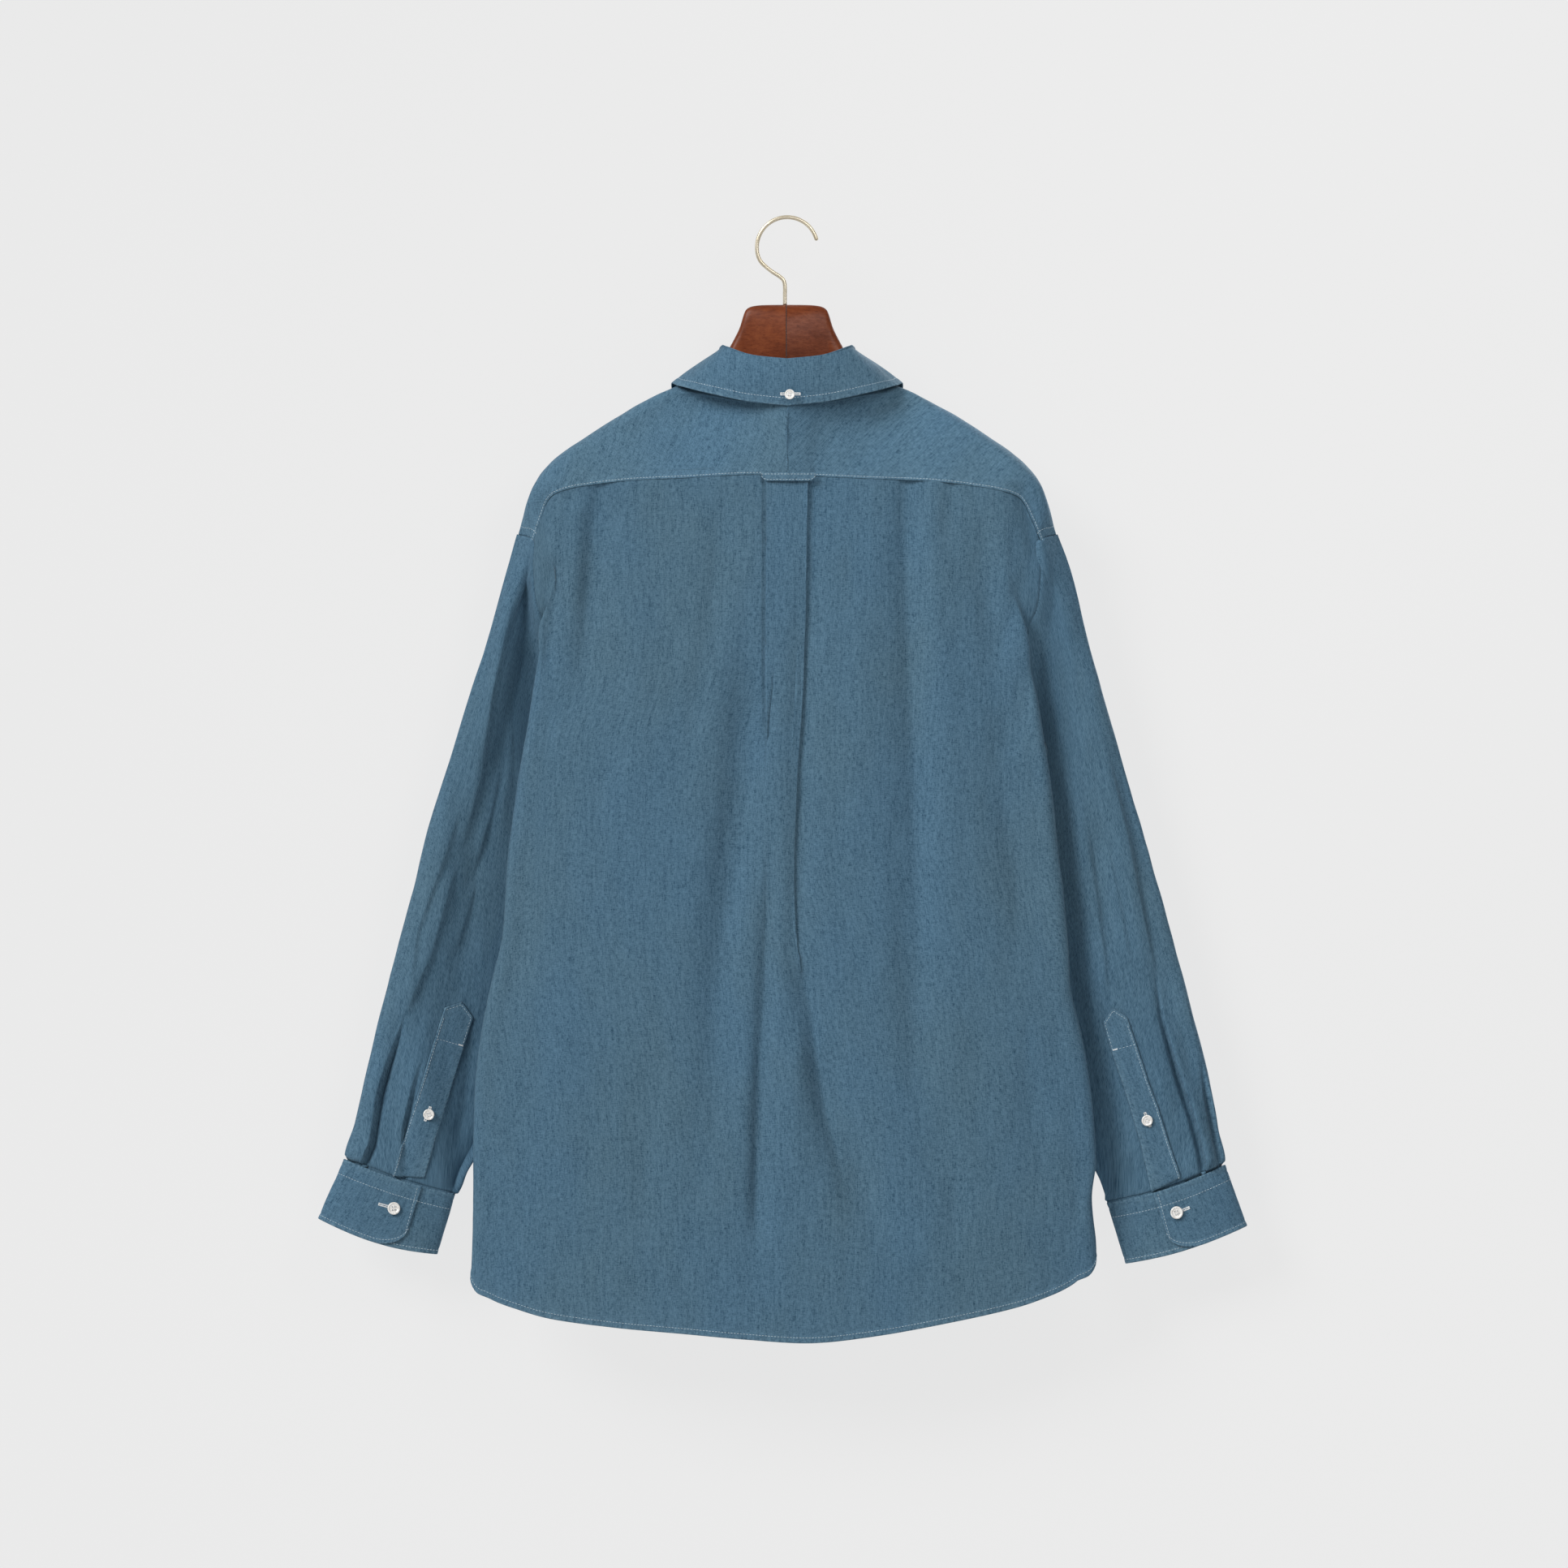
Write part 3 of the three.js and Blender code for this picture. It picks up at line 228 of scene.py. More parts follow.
def on_line(points, at):
    """Points of a smooth line through given points (..., n, 3), at shares of its steps."""
    points = np.asarray(points, float)
    n = points.shape[-2]
    first = 2 * points[..., :1, :] - points[..., 1:2, :]
    last = 2 * points[..., -1:, :] - points[..., -2:-1, :]
    full = np.concatenate([first, points, last], -2)
    place = np.clip(np.asarray(at, float), 0, 1) * (n - 1)
    i = np.minimum(place.astype(int), n - 2)
    t = (place - i)[..., None]
    a, b, c, d = (full[..., i + k, :] for k in range(4))
    return 0.5 * (2 * b + (c - a) * t + (2 * a - 5 * b + 4 * c - d) * t ** 2
                  + (3 * b - a - 3 * c + d) * t ** 3)


def unit(vectors):
    return vectors / np.maximum(np.linalg.norm(vectors, axis=-1, keepdims=True), 1e-9)


def finer_ends(count, start=(0.0, 0), end=(0.0, 0)):
    """Shares from 0 to 1, with closer steps near the ends: each end is (its share, its steps)."""
    parts = []
    if start[1]:
        parts.append(np.linspace(0, start[0], start[1], endpoint=False))
    parts.append(np.linspace(start[0], 1 - end[0], count + 1))
    if end[1]:
        parts.append(np.linspace(1 - end[0], 1, end[1] + 1)[1:])
    return np.concatenate(parts)


KNOTS = 64      # the random values repeat after this many lumps


def unevenness(x, z, size_x, size_z, seed):
    """A soft random relief from -1 to 1 whose lumps have the given sizes."""
    knots = np.random.default_rng(seed).uniform(-1, 1, (KNOTS, KNOTS))
    u, v = np.asarray(x) / size_x, np.asarray(z) / size_z
    i, j = np.floor(u).astype(int), np.floor(v).astype(int)
    s, t = u - i, v - j
    s, t = s * s * (3 - 2 * s), t * t * (3 - 2 * t)
    at = lambda a, b: knots[a % KNOTS, b % KNOTS]
    return lerp(lerp(at(i, j), at(i + 1, j), s), lerp(at(i, j + 1), at(i + 1, j + 1), s), t)


def pixels(points):
    """Picture pixels as millimetres across and up."""
    points = np.asarray(points, float)
    return np.stack([(points[:, 0] - PICTURE_ORIGIN[0]) * PICTURE_SCALE,
                     -(points[:, 1] - PICTURE_ORIGIN[1]) * PICTURE_SCALE], -1)


def beside(x, z, line):
    """The signed distance of each spot from a line, and its share of the line's length."""
    line = np.asarray(line, float)
    flat = np.stack([x.ravel(), z.ravel()], -1)
    lengths = np.linalg.norm(np.diff(line, axis=0), axis=1)
    starts = np.concatenate([[0], np.cumsum(lengths)])
    best = np.full(len(flat), np.inf)
    signed = np.zeros(len(flat))
    share = np.zeros(len(flat))
    for k in range(len(line) - 1):
        a, run = line[k], line[k + 1] - line[k]
        t = np.clip(((flat - a) @ run) / (run @ run), 0, 1)
        off = flat - (a + t[:, None] * run)
        distance = np.hypot(off[:, 0], off[:, 1])
        nearer = distance < best
        side = np.sign(run[0] * off[:, 1] - run[1] * off[:, 0])
        best = np.where(nearer, distance, best)
        signed = np.where(nearer, distance * side, signed)
        share = np.where(nearer, (starts[k] + t * lengths[k]) / starts[-1], share)
    return signed.reshape(x.shape), share.reshape(x.shape)


def fading(share, fade):
    """Full along a line's middle, and growing and dying over the given shares of its ends."""
    ends = smooth(0, fade[0], share) if fade[0] else 1.0
    return ends * (1 - smooth(1 - fade[1], 1, share)) if fade[1] else ends


def crease(x, z, line, width, depth, fade, lean):
    """A soft trough along a line (a ridge where depth is negative). lean makes one flank wider."""
    off, share = beside(x, z, line)
    flank = np.where(off > 0, width * lean, width / lean)
    return -depth * fading(share, fade) * np.exp(-(off / flank) ** 2)


def creases(x, z, rows, picture=True):
    total = np.zeros_like(x)
    for line, width, depth, fade, lean in rows:
        spots = pixels(line) if picture else np.asarray(line, float)
        total += crease(x, z, spots, width, depth, fade, lean)
    return total


def folded_pleat(x, z, line, rise, run, fade, turned, sharp, groove=0.0):
    """A pleat pressed to one side: a sharp edge along the line, a groove under it, a long slope beyond."""
    off, share = beside(x, z, pixels(line))
    off = off * turned
    slope = np.where(off > 0, np.exp(-(off / run) ** 2), np.exp(-(off / sharp) ** 2))
    wide = 1.4 + 1.6 * (1 - share)
    slope = slope - groove * np.exp(-((off + wide + 0.4) / wide) ** 2) * (off < 0)
    return rise * fading(share, fade) * slope


# Materials

def new_material(name):
    material = bpy.data.materials.new(name)
    material.use_nodes = True
    tree = material.node_tree
    return material, tree, tree.nodes["Principled BSDF"]


def feed(tree, made, inputs):
    """Links outputs to a node's inputs, or gives them plain values, colours as three shares."""
    for key, value in inputs.items():
        socket = made.inputs[key]
        if isinstance(value, bpy.types.NodeSocket):
            tree.links.new(value, socket)
        else:
            socket.default_value = (*value, 1) if socket.type == "RGBA" else value


def node(tree, kind, inputs, **settings):
    made = tree.nodes.new(kind)
    for key, value in settings.items():
        setattr(made, key, value)
    feed(tree, made, inputs)
    return made


def object_place(tree):
    return tree.nodes.new("ShaderNodeTexCoord").outputs["Object"]


def noise(tree, at, stretch, scale, detail):
    """Noise with its pattern drawn out; stretch divides the detail along each way."""
    place = node(tree, "ShaderNodeMapping", {"Vector": at, "Scale": stretch}).outputs["Vector"]
    made = node(tree, "ShaderNodeTexNoise", {"Vector": place, "Scale": scale, "Detail": detail})
    return made.outputs["Fac"]


def bands(tree, at, direction, scale, distortion, detail=2.0):
    inputs = {"Vector": at, "Scale": scale, "Distortion": distortion, "Detail": detail}
    return node(tree, "ShaderNodeTexWave", inputs, bands_direction=direction).outputs["Fac"]


def ramp(tree, value, *stops):
    """Colours over a value; each stop is a place and its colour or grey."""
    made = tree.nodes.new("ShaderNodeValToRGB")
    elements = made.color_ramp.elements
    while len(elements) < len(stops):
        elements.new(0.5)
    for element, (place, colour) in zip(elements, stops):
        element.position = place
        element.color = (*colour, 1) if isinstance(colour, tuple) else (colour, colour, colour, 1)
    tree.links.new(value, made.inputs["Fac"])
    return made.outputs["Color"]


def mix(tree, share, a, b, blend="MIX"):
    # A colour mix takes its share at 0 and its colours at 6 and 7, and gives its result at 2
    return node(tree, "ShaderNodeMix", {0: share, 6: a, 7: b}, data_type="RGBA", blend_type=blend).outputs[2]


def sums(tree, operation, *values):
    return node(tree, "ShaderNodeMath", dict(enumerate(values)), operation=operation).outputs[0]


def bump(tree, shader, height, strength, distance):
    """Fine relief in the shading only."""
    made = node(tree, "ShaderNodeBump", {"Strength": strength, "Distance": distance, "Height": height})
    tree.links.new(made.outputs["Normal"], shader.inputs["Normal"])


def scaled(colour, share):
    return tuple(share * np.array(colour))


def chambray(name, warp, weft, worn, seed=0.0):
    """Plain-woven cloth: blue lengthwise threads, pale crosswise ones, and soft uneven dye."""
    material, tree, shader = new_material(name)
    uv = tree.nodes.new("ShaderNodeUVMap")
    uv.uv_map = "cloth"
    place = node(tree, "ShaderNodeMapping", {"Vector": uv.outputs["UV"], "Location": (seed, seed * 0.7, 0)})
    at = place.outputs["Vector"]
    # Threads 0.45 mm apart, each over one and under the next
    weave = sums(tree, "MULTIPLY", bands(tree, at, "X", 350, 0.7, 1.0), bands(tree, at, "Y", 350, 0.7, 1.0))
    # Thick and thin places along the threads
    threads = sums(tree, "MULTIPLY", noise(tree, at, (0.22, 1, 1), 1150, 2.0), 0.32)
    for stretch, scale, detail, share in (((1, 0.22, 1), 1150, 2.0, 0.42), ((1, 1, 1), 760, 2.0, 0.26),
                                          ((1, 0.5, 1), 330, 2.0, 0.2), ((1, 0.07, 1), 420, 3.0, 0.24)):
        threads = sums(tree, "MULTIPLY_ADD", noise(tree, at, stretch, scale, detail), share, threads)
    threads = sums(tree, "MULTIPLY_ADD", weave, 0.16, threads)
    between = lambda share: tuple(lerp(np.array(warp), np.array(weft), share))
    base = ramp(tree, threads, (0.56, warp), (0.67, between(0.42)), (0.73, between(0.62)), (0.85, weft))
    dye = ramp(tree, noise(tree, at, (1, 0.5, 1), 9, 3.0), (0.4, 0), (0.62, 1))
    tinted = mix(tree, 1.0, base, mix(tree, dye, (0.97, 1.0, 1.03), (1.03, 1.0, 0.97)), "MULTIPLY")
    # Edges that are folded and sewn rub paler
    wear = node(tree, "ShaderNodeAttribute", {}, attribute_name="wear").outputs["Fac"]
    patchy = ramp(tree, noise(tree, at, (1, 1, 1), 420, 2.0), (0.42, 0), (0.6, 1))
    rubbed = sums(tree, "MULTIPLY", sums(tree, "MULTIPLY", wear, patchy), 0.55)
    feed(tree, shader, {"Base Color": mix(tree, rubbed, tinted, worn), "Roughness": 0.88,
                        "Specular IOR Level": 0.15, "Sheen Weight": 0.08, "Sheen Roughness": 0.45,
                        "Sheen Tint": (0.75, 0.86, 0.95)})
    bump(tree, shader, sums(tree, "MULTIPLY_ADD", weave, 0.5, threads), 0.35, 0.0004)
    return material


def plain_thread(name, colour):
    material, tree, shader = new_material(name)
    at = object_place(tree)
    shade = ramp(tree, noise(tree, at, (1, 1, 1), 160, 2.0), (0.35, 0), (0.65, 1))
    feed(tree, shader, {"Base Color": mix(tree, shade, scaled(colour, 0.8), colour), "Roughness": 0.6})
    bump(tree, shader, bands(tree, at, "DIAGONAL", 900, 2.0), 0.4, 0.0002)
    return material


def pearl():
    """Milky pearl shell with faint cloudy bands."""
    material, tree, shader = new_material("pearl shell")
    at = object_place(tree)
    clouds = noise(tree, at, (1, 1, 1), 260, 3.0)
    milky = ramp(tree, clouds, (0.3, (0.56, 0.54, 0.50)), (0.55, (0.68, 0.67, 0.64)),
                 (0.75, (0.76, 0.76, 0.75)))
    banded = sums(tree, "MULTIPLY", bands(tree, at, "DIAGONAL", 120, 9.0), 0.35)
    feed(tree, shader, {"Base Color": mix(tree, banded, milky, (0.93, 0.90, 0.88)), "Roughness": 0.22,
                        "Coat Weight": 0.4, "Coat Roughness": 0.12, "Subsurface Weight": 0.12,
                        "Subsurface Radius": (0.002, 0.002, 0.002)})
    return material


def stained_wood():
    """Reddish-brown satin lacquer over a fine straight grain that runs out along the arms."""
    material, tree, shader = new_material("stained wood")
    at = object_place(tree)
    figure = noise(tree, at, (3, 6, 9), 9, 4.0)
    pores = noise(tree, at, (0.10, 1, 1), 1500, 2.0)
    streaks = noise(tree, at, (0.3, 1, 1), 420, 3.0)
    grain = sums(tree, "MULTIPLY_ADD", streaks, 0.5, sums(tree, "MULTIPLY", figure, 0.5))
    tone = ramp(tree, grain, (0.36, (0.104, 0.0235, 0.0080)), (0.5, (0.138, 0.033, 0.0115)),
                (0.66, (0.178, 0.047, 0.0165)))
    toned = mix(tree, 1.0, tone, ramp(tree, pores, (0.34, (0.74, 0.70, 0.66)), (0.44, 1)), "MULTIPLY")
    # The joint between the halves is a dark line
    across = node(tree, "ShaderNodeSeparateXYZ", {"Vector": at}).outputs["X"]
    off_joint = sums(tree, "ABSOLUTE", sums(tree, "MULTIPLY_ADD", across, 1 / MM, -JOINT_X))
    joint = ramp(tree, off_joint, (0.25, (0.12, 0.10, 0.10)), (0.6, 1))
    feed(tree, shader, {"Base Color": mix(tree, 1.0, toned, joint, "MULTIPLY"),
                        "Roughness": ramp(tree, streaks, (0.3, 0.46), (0.7, 0.36)),
                        "Specular IOR Level": 0.1, "Coat Weight": 0.06, "Coat Roughness": 0.22})
    bump(tree, shader, pores, 0.12, 0.0003)
    return material


def pale_brass():
    """Polished wire with a pale gold plating and fine drawn lines."""
    material, tree, shader = new_material("pale brass wire")
    at = object_place(tree)
    marks = noise(tree, at, (1, 1, 1), 700, 3.0)
    tarnish = noise(tree, at, (1, 1, 1), 60, 3.0)
    gold = ramp(tree, tarnish, (0.35, (0.56, 0.49, 0.36)), (0.65, (0.70, 0.63, 0.50)))
    feed(tree, shader, {"Base Color": gold,
                        "Roughness": ramp(tree, marks, (0.3, 0.36), (0.7, 0.42)), "Metallic": 0.82})
    bump(tree, shader, marks, 0.02, 0.0001)
    return material


WARP = (0.0130, 0.0440, 0.0780)
WEFT = (0.083, 0.160, 0.226)
WORN = (0.15, 0.25, 0.32)
SHIRTING = chambray("chambray", WARP, WEFT, WORN)
# The yoke's chambray is the body's cloth with its threads 6 and 10 per cent paler: painted light, for the
# brighter light that falls on the upturned yoke from above.
YOKE_CLOTH_PAINTED_LIGHTER = chambray("chambray yoke painted lighter", scaled(WARP, 1.06), scaled(WEFT, 1.10), WORN, seed=0.37)
WHITE_THREAD = plain_thread("white thread", (0.80, 0.82, 0.83))
BLUE_WHITE_THREAD = plain_thread("pale blue thread", (0.48, 0.58, 0.64))
PEARL = pearl()
STAINED_WOOD = stained_wood()
BRASS = pale_brass()


# Meshes

def link_object(name, mesh, material):
    mesh.materials.append(material)
    return place_object(name, mesh)


def corners_of(mesh):
    co = np.zeros(len(mesh.vertices) * 3, np.float32)
    mesh.vertices.foreach_get("co", co)
    return co.reshape(-1, 3)


def squares(rows, spans, wide):
    """Faces over a grid that is wide points to the row; a span past the last point meets the first."""
    j, i = np.meshgrid(np.arange(rows - 1), np.arange(spans), indexing="ij")
    at = lambda a, b: a * wide + b % wide
    return np.stack([at(j, i), at(j, i + 1), at(j + 1, i + 1), at(j + 1, i)], -1).reshape(-1, 4)


def end_faces(rows, columns):
    """Faces straight across the first and the last ring of a closed grid."""
    k = np.arange(1, columns // 2)
    first = np.stack([k - 1, k, columns - 1 - k, columns - k], -1)
    return first, first + (rows - 1) * columns


def mesh_of(name, points, faces, uv=None, uv_faces=None, spots=None):
    """A mesh from millimetre points and four-sided faces, with an optional cloth map."""
    mesh = bpy.data.meshes.new(name)
    faces = np.asarray(faces)
    mesh.vertices.add(len(points))
    mesh.vertices.foreach_set("co", (np.asarray(points, float) * MM).astype(np.float32).ravel())
    mesh.loops.add(faces.size)
    mesh.loops.foreach_set("vertex_index", faces.ravel().astype(np.int32))
    mesh.polygons.add(len(faces))
    mesh.polygons.foreach_set("loop_start", np.arange(0, faces.size, faces.shape[1], dtype=np.int32))
    if uv is not None:
        layer = mesh.uv_layers.new(name="cloth")
        layer.data.foreach_set("uv", (uv[uv_faces.ravel()] * MM).astype(np.float32).ravel())
    for key, values in (spots or {}).items():
        attribute = mesh.attributes.new(key, "FLOAT", "POINT")
        attribute.data.foreach_set("value", np.asarray(values, np.float32))
    mesh.update(calc_edges=True)
    mesh.shade_smooth()
    mesh.validate()
    return mesh


def grid_normals(grid, closed):
    if closed:
        across = np.roll(grid, -1, 1) - np.roll(grid, 1, 1)
    else:
        across = np.gradient(grid, axis=1)
    down = np.gradient(grid, axis=0)
    return unit(np.cross(across, down))


def measured(grid, closed, centre=0.5):
    """Millimetres across and down along the cloth at each grid point."""
    ring = np.concatenate([grid, grid[:, :1]], 1) if closed else grid
    across = np.linalg.norm(np.diff(ring, axis=1), axis=-1)
    across = np.concatenate([np.zeros((len(grid), 1)), np.cumsum(across, 1)], 1)
    across -= across[:, [round((ring.shape[1] - 1) * centre)]]
    down = np.linalg.norm(np.diff(ring, axis=0), axis=-1)
    down = np.concatenate([np.zeros((1, ring.shape[1])), np.cumsum(down, 0)], 0)
    return np.stack([across, down], -1)


SHEETS = {}


def cloth(name, grid, inward=1, closed=False, relief=None, thick=CLOTH, hems="", hem=5.0, hem_rise=0.45,
          wear=0.8, turn_grain=0.0, material=None, centre=0.5):
    """A thin closed shell of cloth. The grid is its outer face. hems names its doubled edges."""
    uv = measured(grid, closed, centre)
    flat = uv[:, :-1] if closed else uv
    far = np.full(grid.shape[:2], 1e3)
    distances = {"t": flat[..., 1], "b": flat[-1:, :, 1] - flat[..., 1],
                 "l": flat[..., 0] - flat[:, :1, 0], "r": flat[:, -1:, 0] - flat[..., 0]}
    for letter in hems:
        far = np.minimum(far, distances[letter])
    lift = hem_rise * (1 - smooth(hem - 0.6, hem + 0.9, far))
    if relief is not None:
        lift = lift + relief
    out = -inward * grid_normals(grid, closed)
    outer = grid + out * lift[..., None]
    out = -inward * grid_normals(outer, closed)
    inner = outer - out * thick
    rows, columns = grid.shape[:2]
    count = rows * columns
    wide = columns + (1 if closed else 0)
    spans = columns if closed else columns - 1
    corner = lambda a, b: a * columns + b % columns
    chart = lambda a, b: a * wide + b
    face, face_uv = squares(rows, spans, columns), squares(rows, spans, wide)
    if inward > 0:
        face, face_uv = face[:, ::-1], face_uv[:, ::-1]
    faces, charts = [face, face[:, ::-1] + count], [face_uv, face_uv[:, ::-1]]
    if closed:
        loops = [([(row, k) for k in range(columns + 1)], row > 0) for row in (0, rows - 1)]
    else:
        around = ([(0, k) for k in range(columns)] + [(k, columns - 1) for k in range(1, rows)]
                  + [(rows - 1, k) for k in range(columns - 2, -1, -1)]
                  + [(k, 0) for k in range(rows - 2, -1, -1)])
        loops = [(around, False)]
    points = [outer.reshape(-1, 3), inner.reshape(-1, 3)]
    wears = wear * np.exp(-far / 3.5).ravel()
    worn = [wears, wears * 0.5]
    used = 2 * count
    for loop, back in loops:
        ring = np.array(loop)
        jj, ii = ring[:, 0], ring[:, 1] % columns
        middle = (outer[jj, ii] + inner[jj, ii]) / 2
        inside_j = np.clip(jj, 1, rows - 2)
        inside_i = ii if closed else np.clip(ii, 1, columns - 2)
        away = unit(outer[jj, ii] - outer[inside_j, inside_i])
        bead = middle + away * thick * 0.4
        if closed:
            bead = bead[:-1]
        n = len(bead)
        k = np.arange(len(ring) - 1)
        a, b = corner(jj[k], ring[k, 1]), corner(jj[k + 1], ring[k + 1, 1])
        ra, rb = used + k % n, used + (k + 1) % n
        ua, ub = chart(ring[k, 0], ring[k, 1]), chart(ring[k + 1, 0], ring[k + 1, 1])
        upper = np.stack([b, a, ra, rb], -1)
        lower = np.stack([rb, ra, a + count, b + count], -1)
        chart_rows = np.stack([ub, ua, ua, ub], -1)
        if back != (inward > 0):
            upper, lower, chart_rows = upper[:, ::-1], lower[:, ::-1], chart_rows[:, ::-1]
        faces += [upper, lower]
        charts += [chart_rows, chart_rows]
        points.append(bead)
        worn.append(np.full(n, wear))
        used += n
    turned = uv.reshape(-1, 2)
    if turn_grain:
        c, s = math.cos(turn_grain), math.sin(turn_grain)
        turned = turned @ np.array([[c, s], [-s, c]])
    mesh = mesh_of(name, np.concatenate(points), np.concatenate(faces), turned, np.concatenate(charts),
                   {"wear": np.concatenate(worn)})
    SHEETS[name] = dict(piece=link_object(name, mesh, material or SHIRTING), outer=outer, out=out, flat=flat,
                        closed=closed, size=(np.ptp(flat[..., 0]) * MM, np.ptp(flat[..., 1]) * MM))


# The body of the shirt

def armhole(sign, down, face):
    """A point of the armhole's edge on the back or front face, from its top (0) to the underarm (1)."""
    x, y, z = (read(ARMHOLE, "down", face + axis, down) for axis in "XYZ")
    return vec(sign * x, y, z)


def side_seam(side, z):
    settled = smooth(UNDERARM_Z, UNDERARM_Z - 40, z)
    edge = np.abs(read(BODY_EDGE, "z", side, z)) - SEAM_INSET
    depth = lerp(UNDERARM_Y, read(BODY_DEPTH, "z", "seam", z), settled)
    return vec(SIDES[side] * lerp(UNDERARM_X, edge, settled), depth, z)


def side_edge(side, face, share):
    sign = SIDES[side]
    top = armhole(sign, YOKE_CORNER, face)[2] - 3 * SEAM_GAP
    z = lerp(top, SIDE_HEM[side], np.asarray(share, float))
    # Halving finds how far down the armhole each height lies
    low, high = np.full_like(z, YOKE_CORNER), np.ones_like(z)
    for _ in range(24):
        middle = (low + high) / 2
        above = read(ARMHOLE, "down", face + "Z", middle) > z
        low, high = np.where(above, middle, low), np.where(above, high, middle)
    point = armhole(sign, low, face)
    point[..., 2] = z
    return np.where((z > UNDERARM_Z)[..., None], point, side_seam(side, z))


def fold_depth(x, z):
    """How much deeper the back lies in its long soft folds."""
    depth = 0
    for top_x, top_z, foot_x, foot_z, width, deep in BACK_FOLDS:
        share = (z - top_z) / (foot_z - top_z)
        offset = x - lerp(top_x, foot_x, share)
        fade = smooth(-0.2, 0.15, share) * (1 - smooth(0.8, 1.2, share)) * ((share > -0.2) & (share < 1.2))
        depth = depth + deep * fade * np.exp(-((offset / width) ** 2))
    return depth


def back_y(x, z):
    """The back's face without its pleat."""
    left, right = read(BODY_EDGE, "z", "left", z), read(BODY_EDGE, "z", "right", z)
    across = np.minimum(1, np.abs((2 * x - left - right) / (right - left)))
    middle, edge = read(BODY_DEPTH, "z", "backMid", z), read(BODY_DEPTH, "z", "backEdge", z)
    return lerp(middle, edge, across ** 2.6) + fold_depth(x, z)


def yoke_edge_y(side, x):
    """Depth of the yoke's lower edge: the back's own, and beyond its flat a straight run to the armhole."""
    sign = SIDES[side]
    corner = armhole(sign, YOKE_CORNER, "back")
    flat_x = read(BODY_EDGE, "z", side, corner[2]) - sign * FOLD_INSET
    beyond = np.clip((x - flat_x) / (corner[0] - flat_x), 0, 1)
    run = lerp(back_y(flat_x, seam_z(flat_x)), corner[1], beyond)
    return np.where(beyond <= 0, back_y(x, seam_z(x)), run)


def hem_z(x):
    return read(BACK_HEM, "x", "z", x)


def seam_z(x):
    return read(YOKE_SEAM, "x", "z", x)


def pleat_reach(z):
    return 1 - smooth(-420, -760, z)


def pleat_edge(z, right):
    """Where the pressed edges of the box pleat run down the back."""
    if right:
        line = [(PLEAT_HALF, CENTRE_SEAM_Z), (16.5, -320), (14, -407), (9.1, -477), (6.2, -547), (7.4, -617),
                (14, -666), (24.5, -715), (35, -771), (42, -830), (46, -980)]
    else:
        line = [(-PLEAT_HALF, CENTRE_SEAM_Z), (-18.6, -320), (-19.2, -407), (-19.6, -470), (-21, -560),
                (-23, -980)]
    x, down = np.transpose(line) * [[1], [-1]]
    return np.interp(-z, down, x)


# Valleys of the hanging cloth: picture line, width, depth (minus for a ridge), fades at its ends, lean
BACK_CREASES = [
    ([(738, 603), (728, 700), (720, 800), (715, 860)], 9, 1.7, (0.0, 0.5), 1.3),
    ([(735, 880), (738, 1000), (738, 1090)], 12, 1.0, (0.4, 0.5), 1.0),
    ([(710, 612), (708, 700), (706, 810)], 9, -1.5, (0.1, 0.5), 0.8),
    ([(893, 598), (885, 680), (870, 800), (850, 890), (835, 960), (830, 1060)],
     12, 1.1, (0.1, 0.4), 1.2),
    ([(934, 760), (922, 960), (900, 1080), (882, 1200), (866, 1370)], 14, 2.8, (0.25, 0.4), 0.8),
    ([(950, 1000), (945, 1120), (942, 1220), (938, 1300), (934, 1400), (932, 1560)],
     7, 2.3, (0.25, 0.2), 1.3),
    ([(1005, 1290), (1030, 1370), (1060, 1450), (1082, 1530)], 14, 1.7, (0.2, 0.35), 0.8),
    ([(1117, 596), (1120, 750), (1130, 1000), (1136, 1200), (1141, 1330)], 9, 2.2, (0.0, 0.6), 1.3),
    ([(1170, 598), (1171, 650), (1174, 705)], 8, 1.1, (0.0, 0.6), 1.0),
    ([(686, 676), (683, 740), (673, 800), (668, 850)], 7, 2.4, (0.15, 0.3), 0.8),
    ([(986, 1170), (998, 1238), (1005, 1295), (1016, 1358), (1030, 1420), (1046, 1490)],
     7, 2.5, (0.15, 0.4), 0.8),
    ([(1262, 600), (1270, 650), (1284, 700)], 8, 1.6, (0.0, 0.3), 1.0),
    ([(1148, 640), (1160, 800), (1178, 1000), (1190, 1180)], 15, -1.2, (0.2, 0.4), 1.0),
    ([(1205, 650), (1218, 740), (1238, 840)], 9, 1.2, (0.3, 0.5), 0.9),
    ([(1225, 940), (1250, 1060), (1278, 1190)], 12, 1.2, (0.4, 0.4), 1.2),
    ([(790, 690), (788, 860), (776, 1040)], 16, -1.1, (0.4, 0.4), 1.1),
    ([(655, 1010), (640, 1150), (630, 1290)], 13, 1.1, (0.4, 0.4), 0.8),
    ([(700, 1180), (692, 1330), (690, 1490)], 18, -1.0, (0.4, 0.4), 1.0),
    ([(800, 1250), (792, 1380), (800, 1540)], 14, 1.1, (0.4, 0.3), 1.2),
    ([(1150, 1330), (1172, 1440), (1185, 1560)], 13, 1.2, (0.4, 0.3), 0.9),
    ([(1255, 1260), (1278, 1380), (1300, 1500)], 12, 1.1, (0.4, 0.4), 1.1),
    ([(1060, 700), (1056, 900), (1052, 1090)], 14, -0.9, (0.4, 0.5), 1.0),
    ([(985, 1240), (978, 1360), (984, 1480)], 9, -1.3, (0.3, 0.4), 1.0),
    ([(672, 690), (690, 740), (716, 800)], 7, 1.0, (0.2, 0.5), 1.0),
    ([(664, 780), (684, 850), (716, 930)], 9, 1.1, (0.2, 0.5), 1.2),
    ([(1262, 700), (1246, 760), (1222, 830)], 7, 0.9, (0.2, 0.5), 1.0),
    ([(1275, 800), (1262, 870), (1236, 950)], 9, 1.1, (0.2, 0.5), 0.8),
]


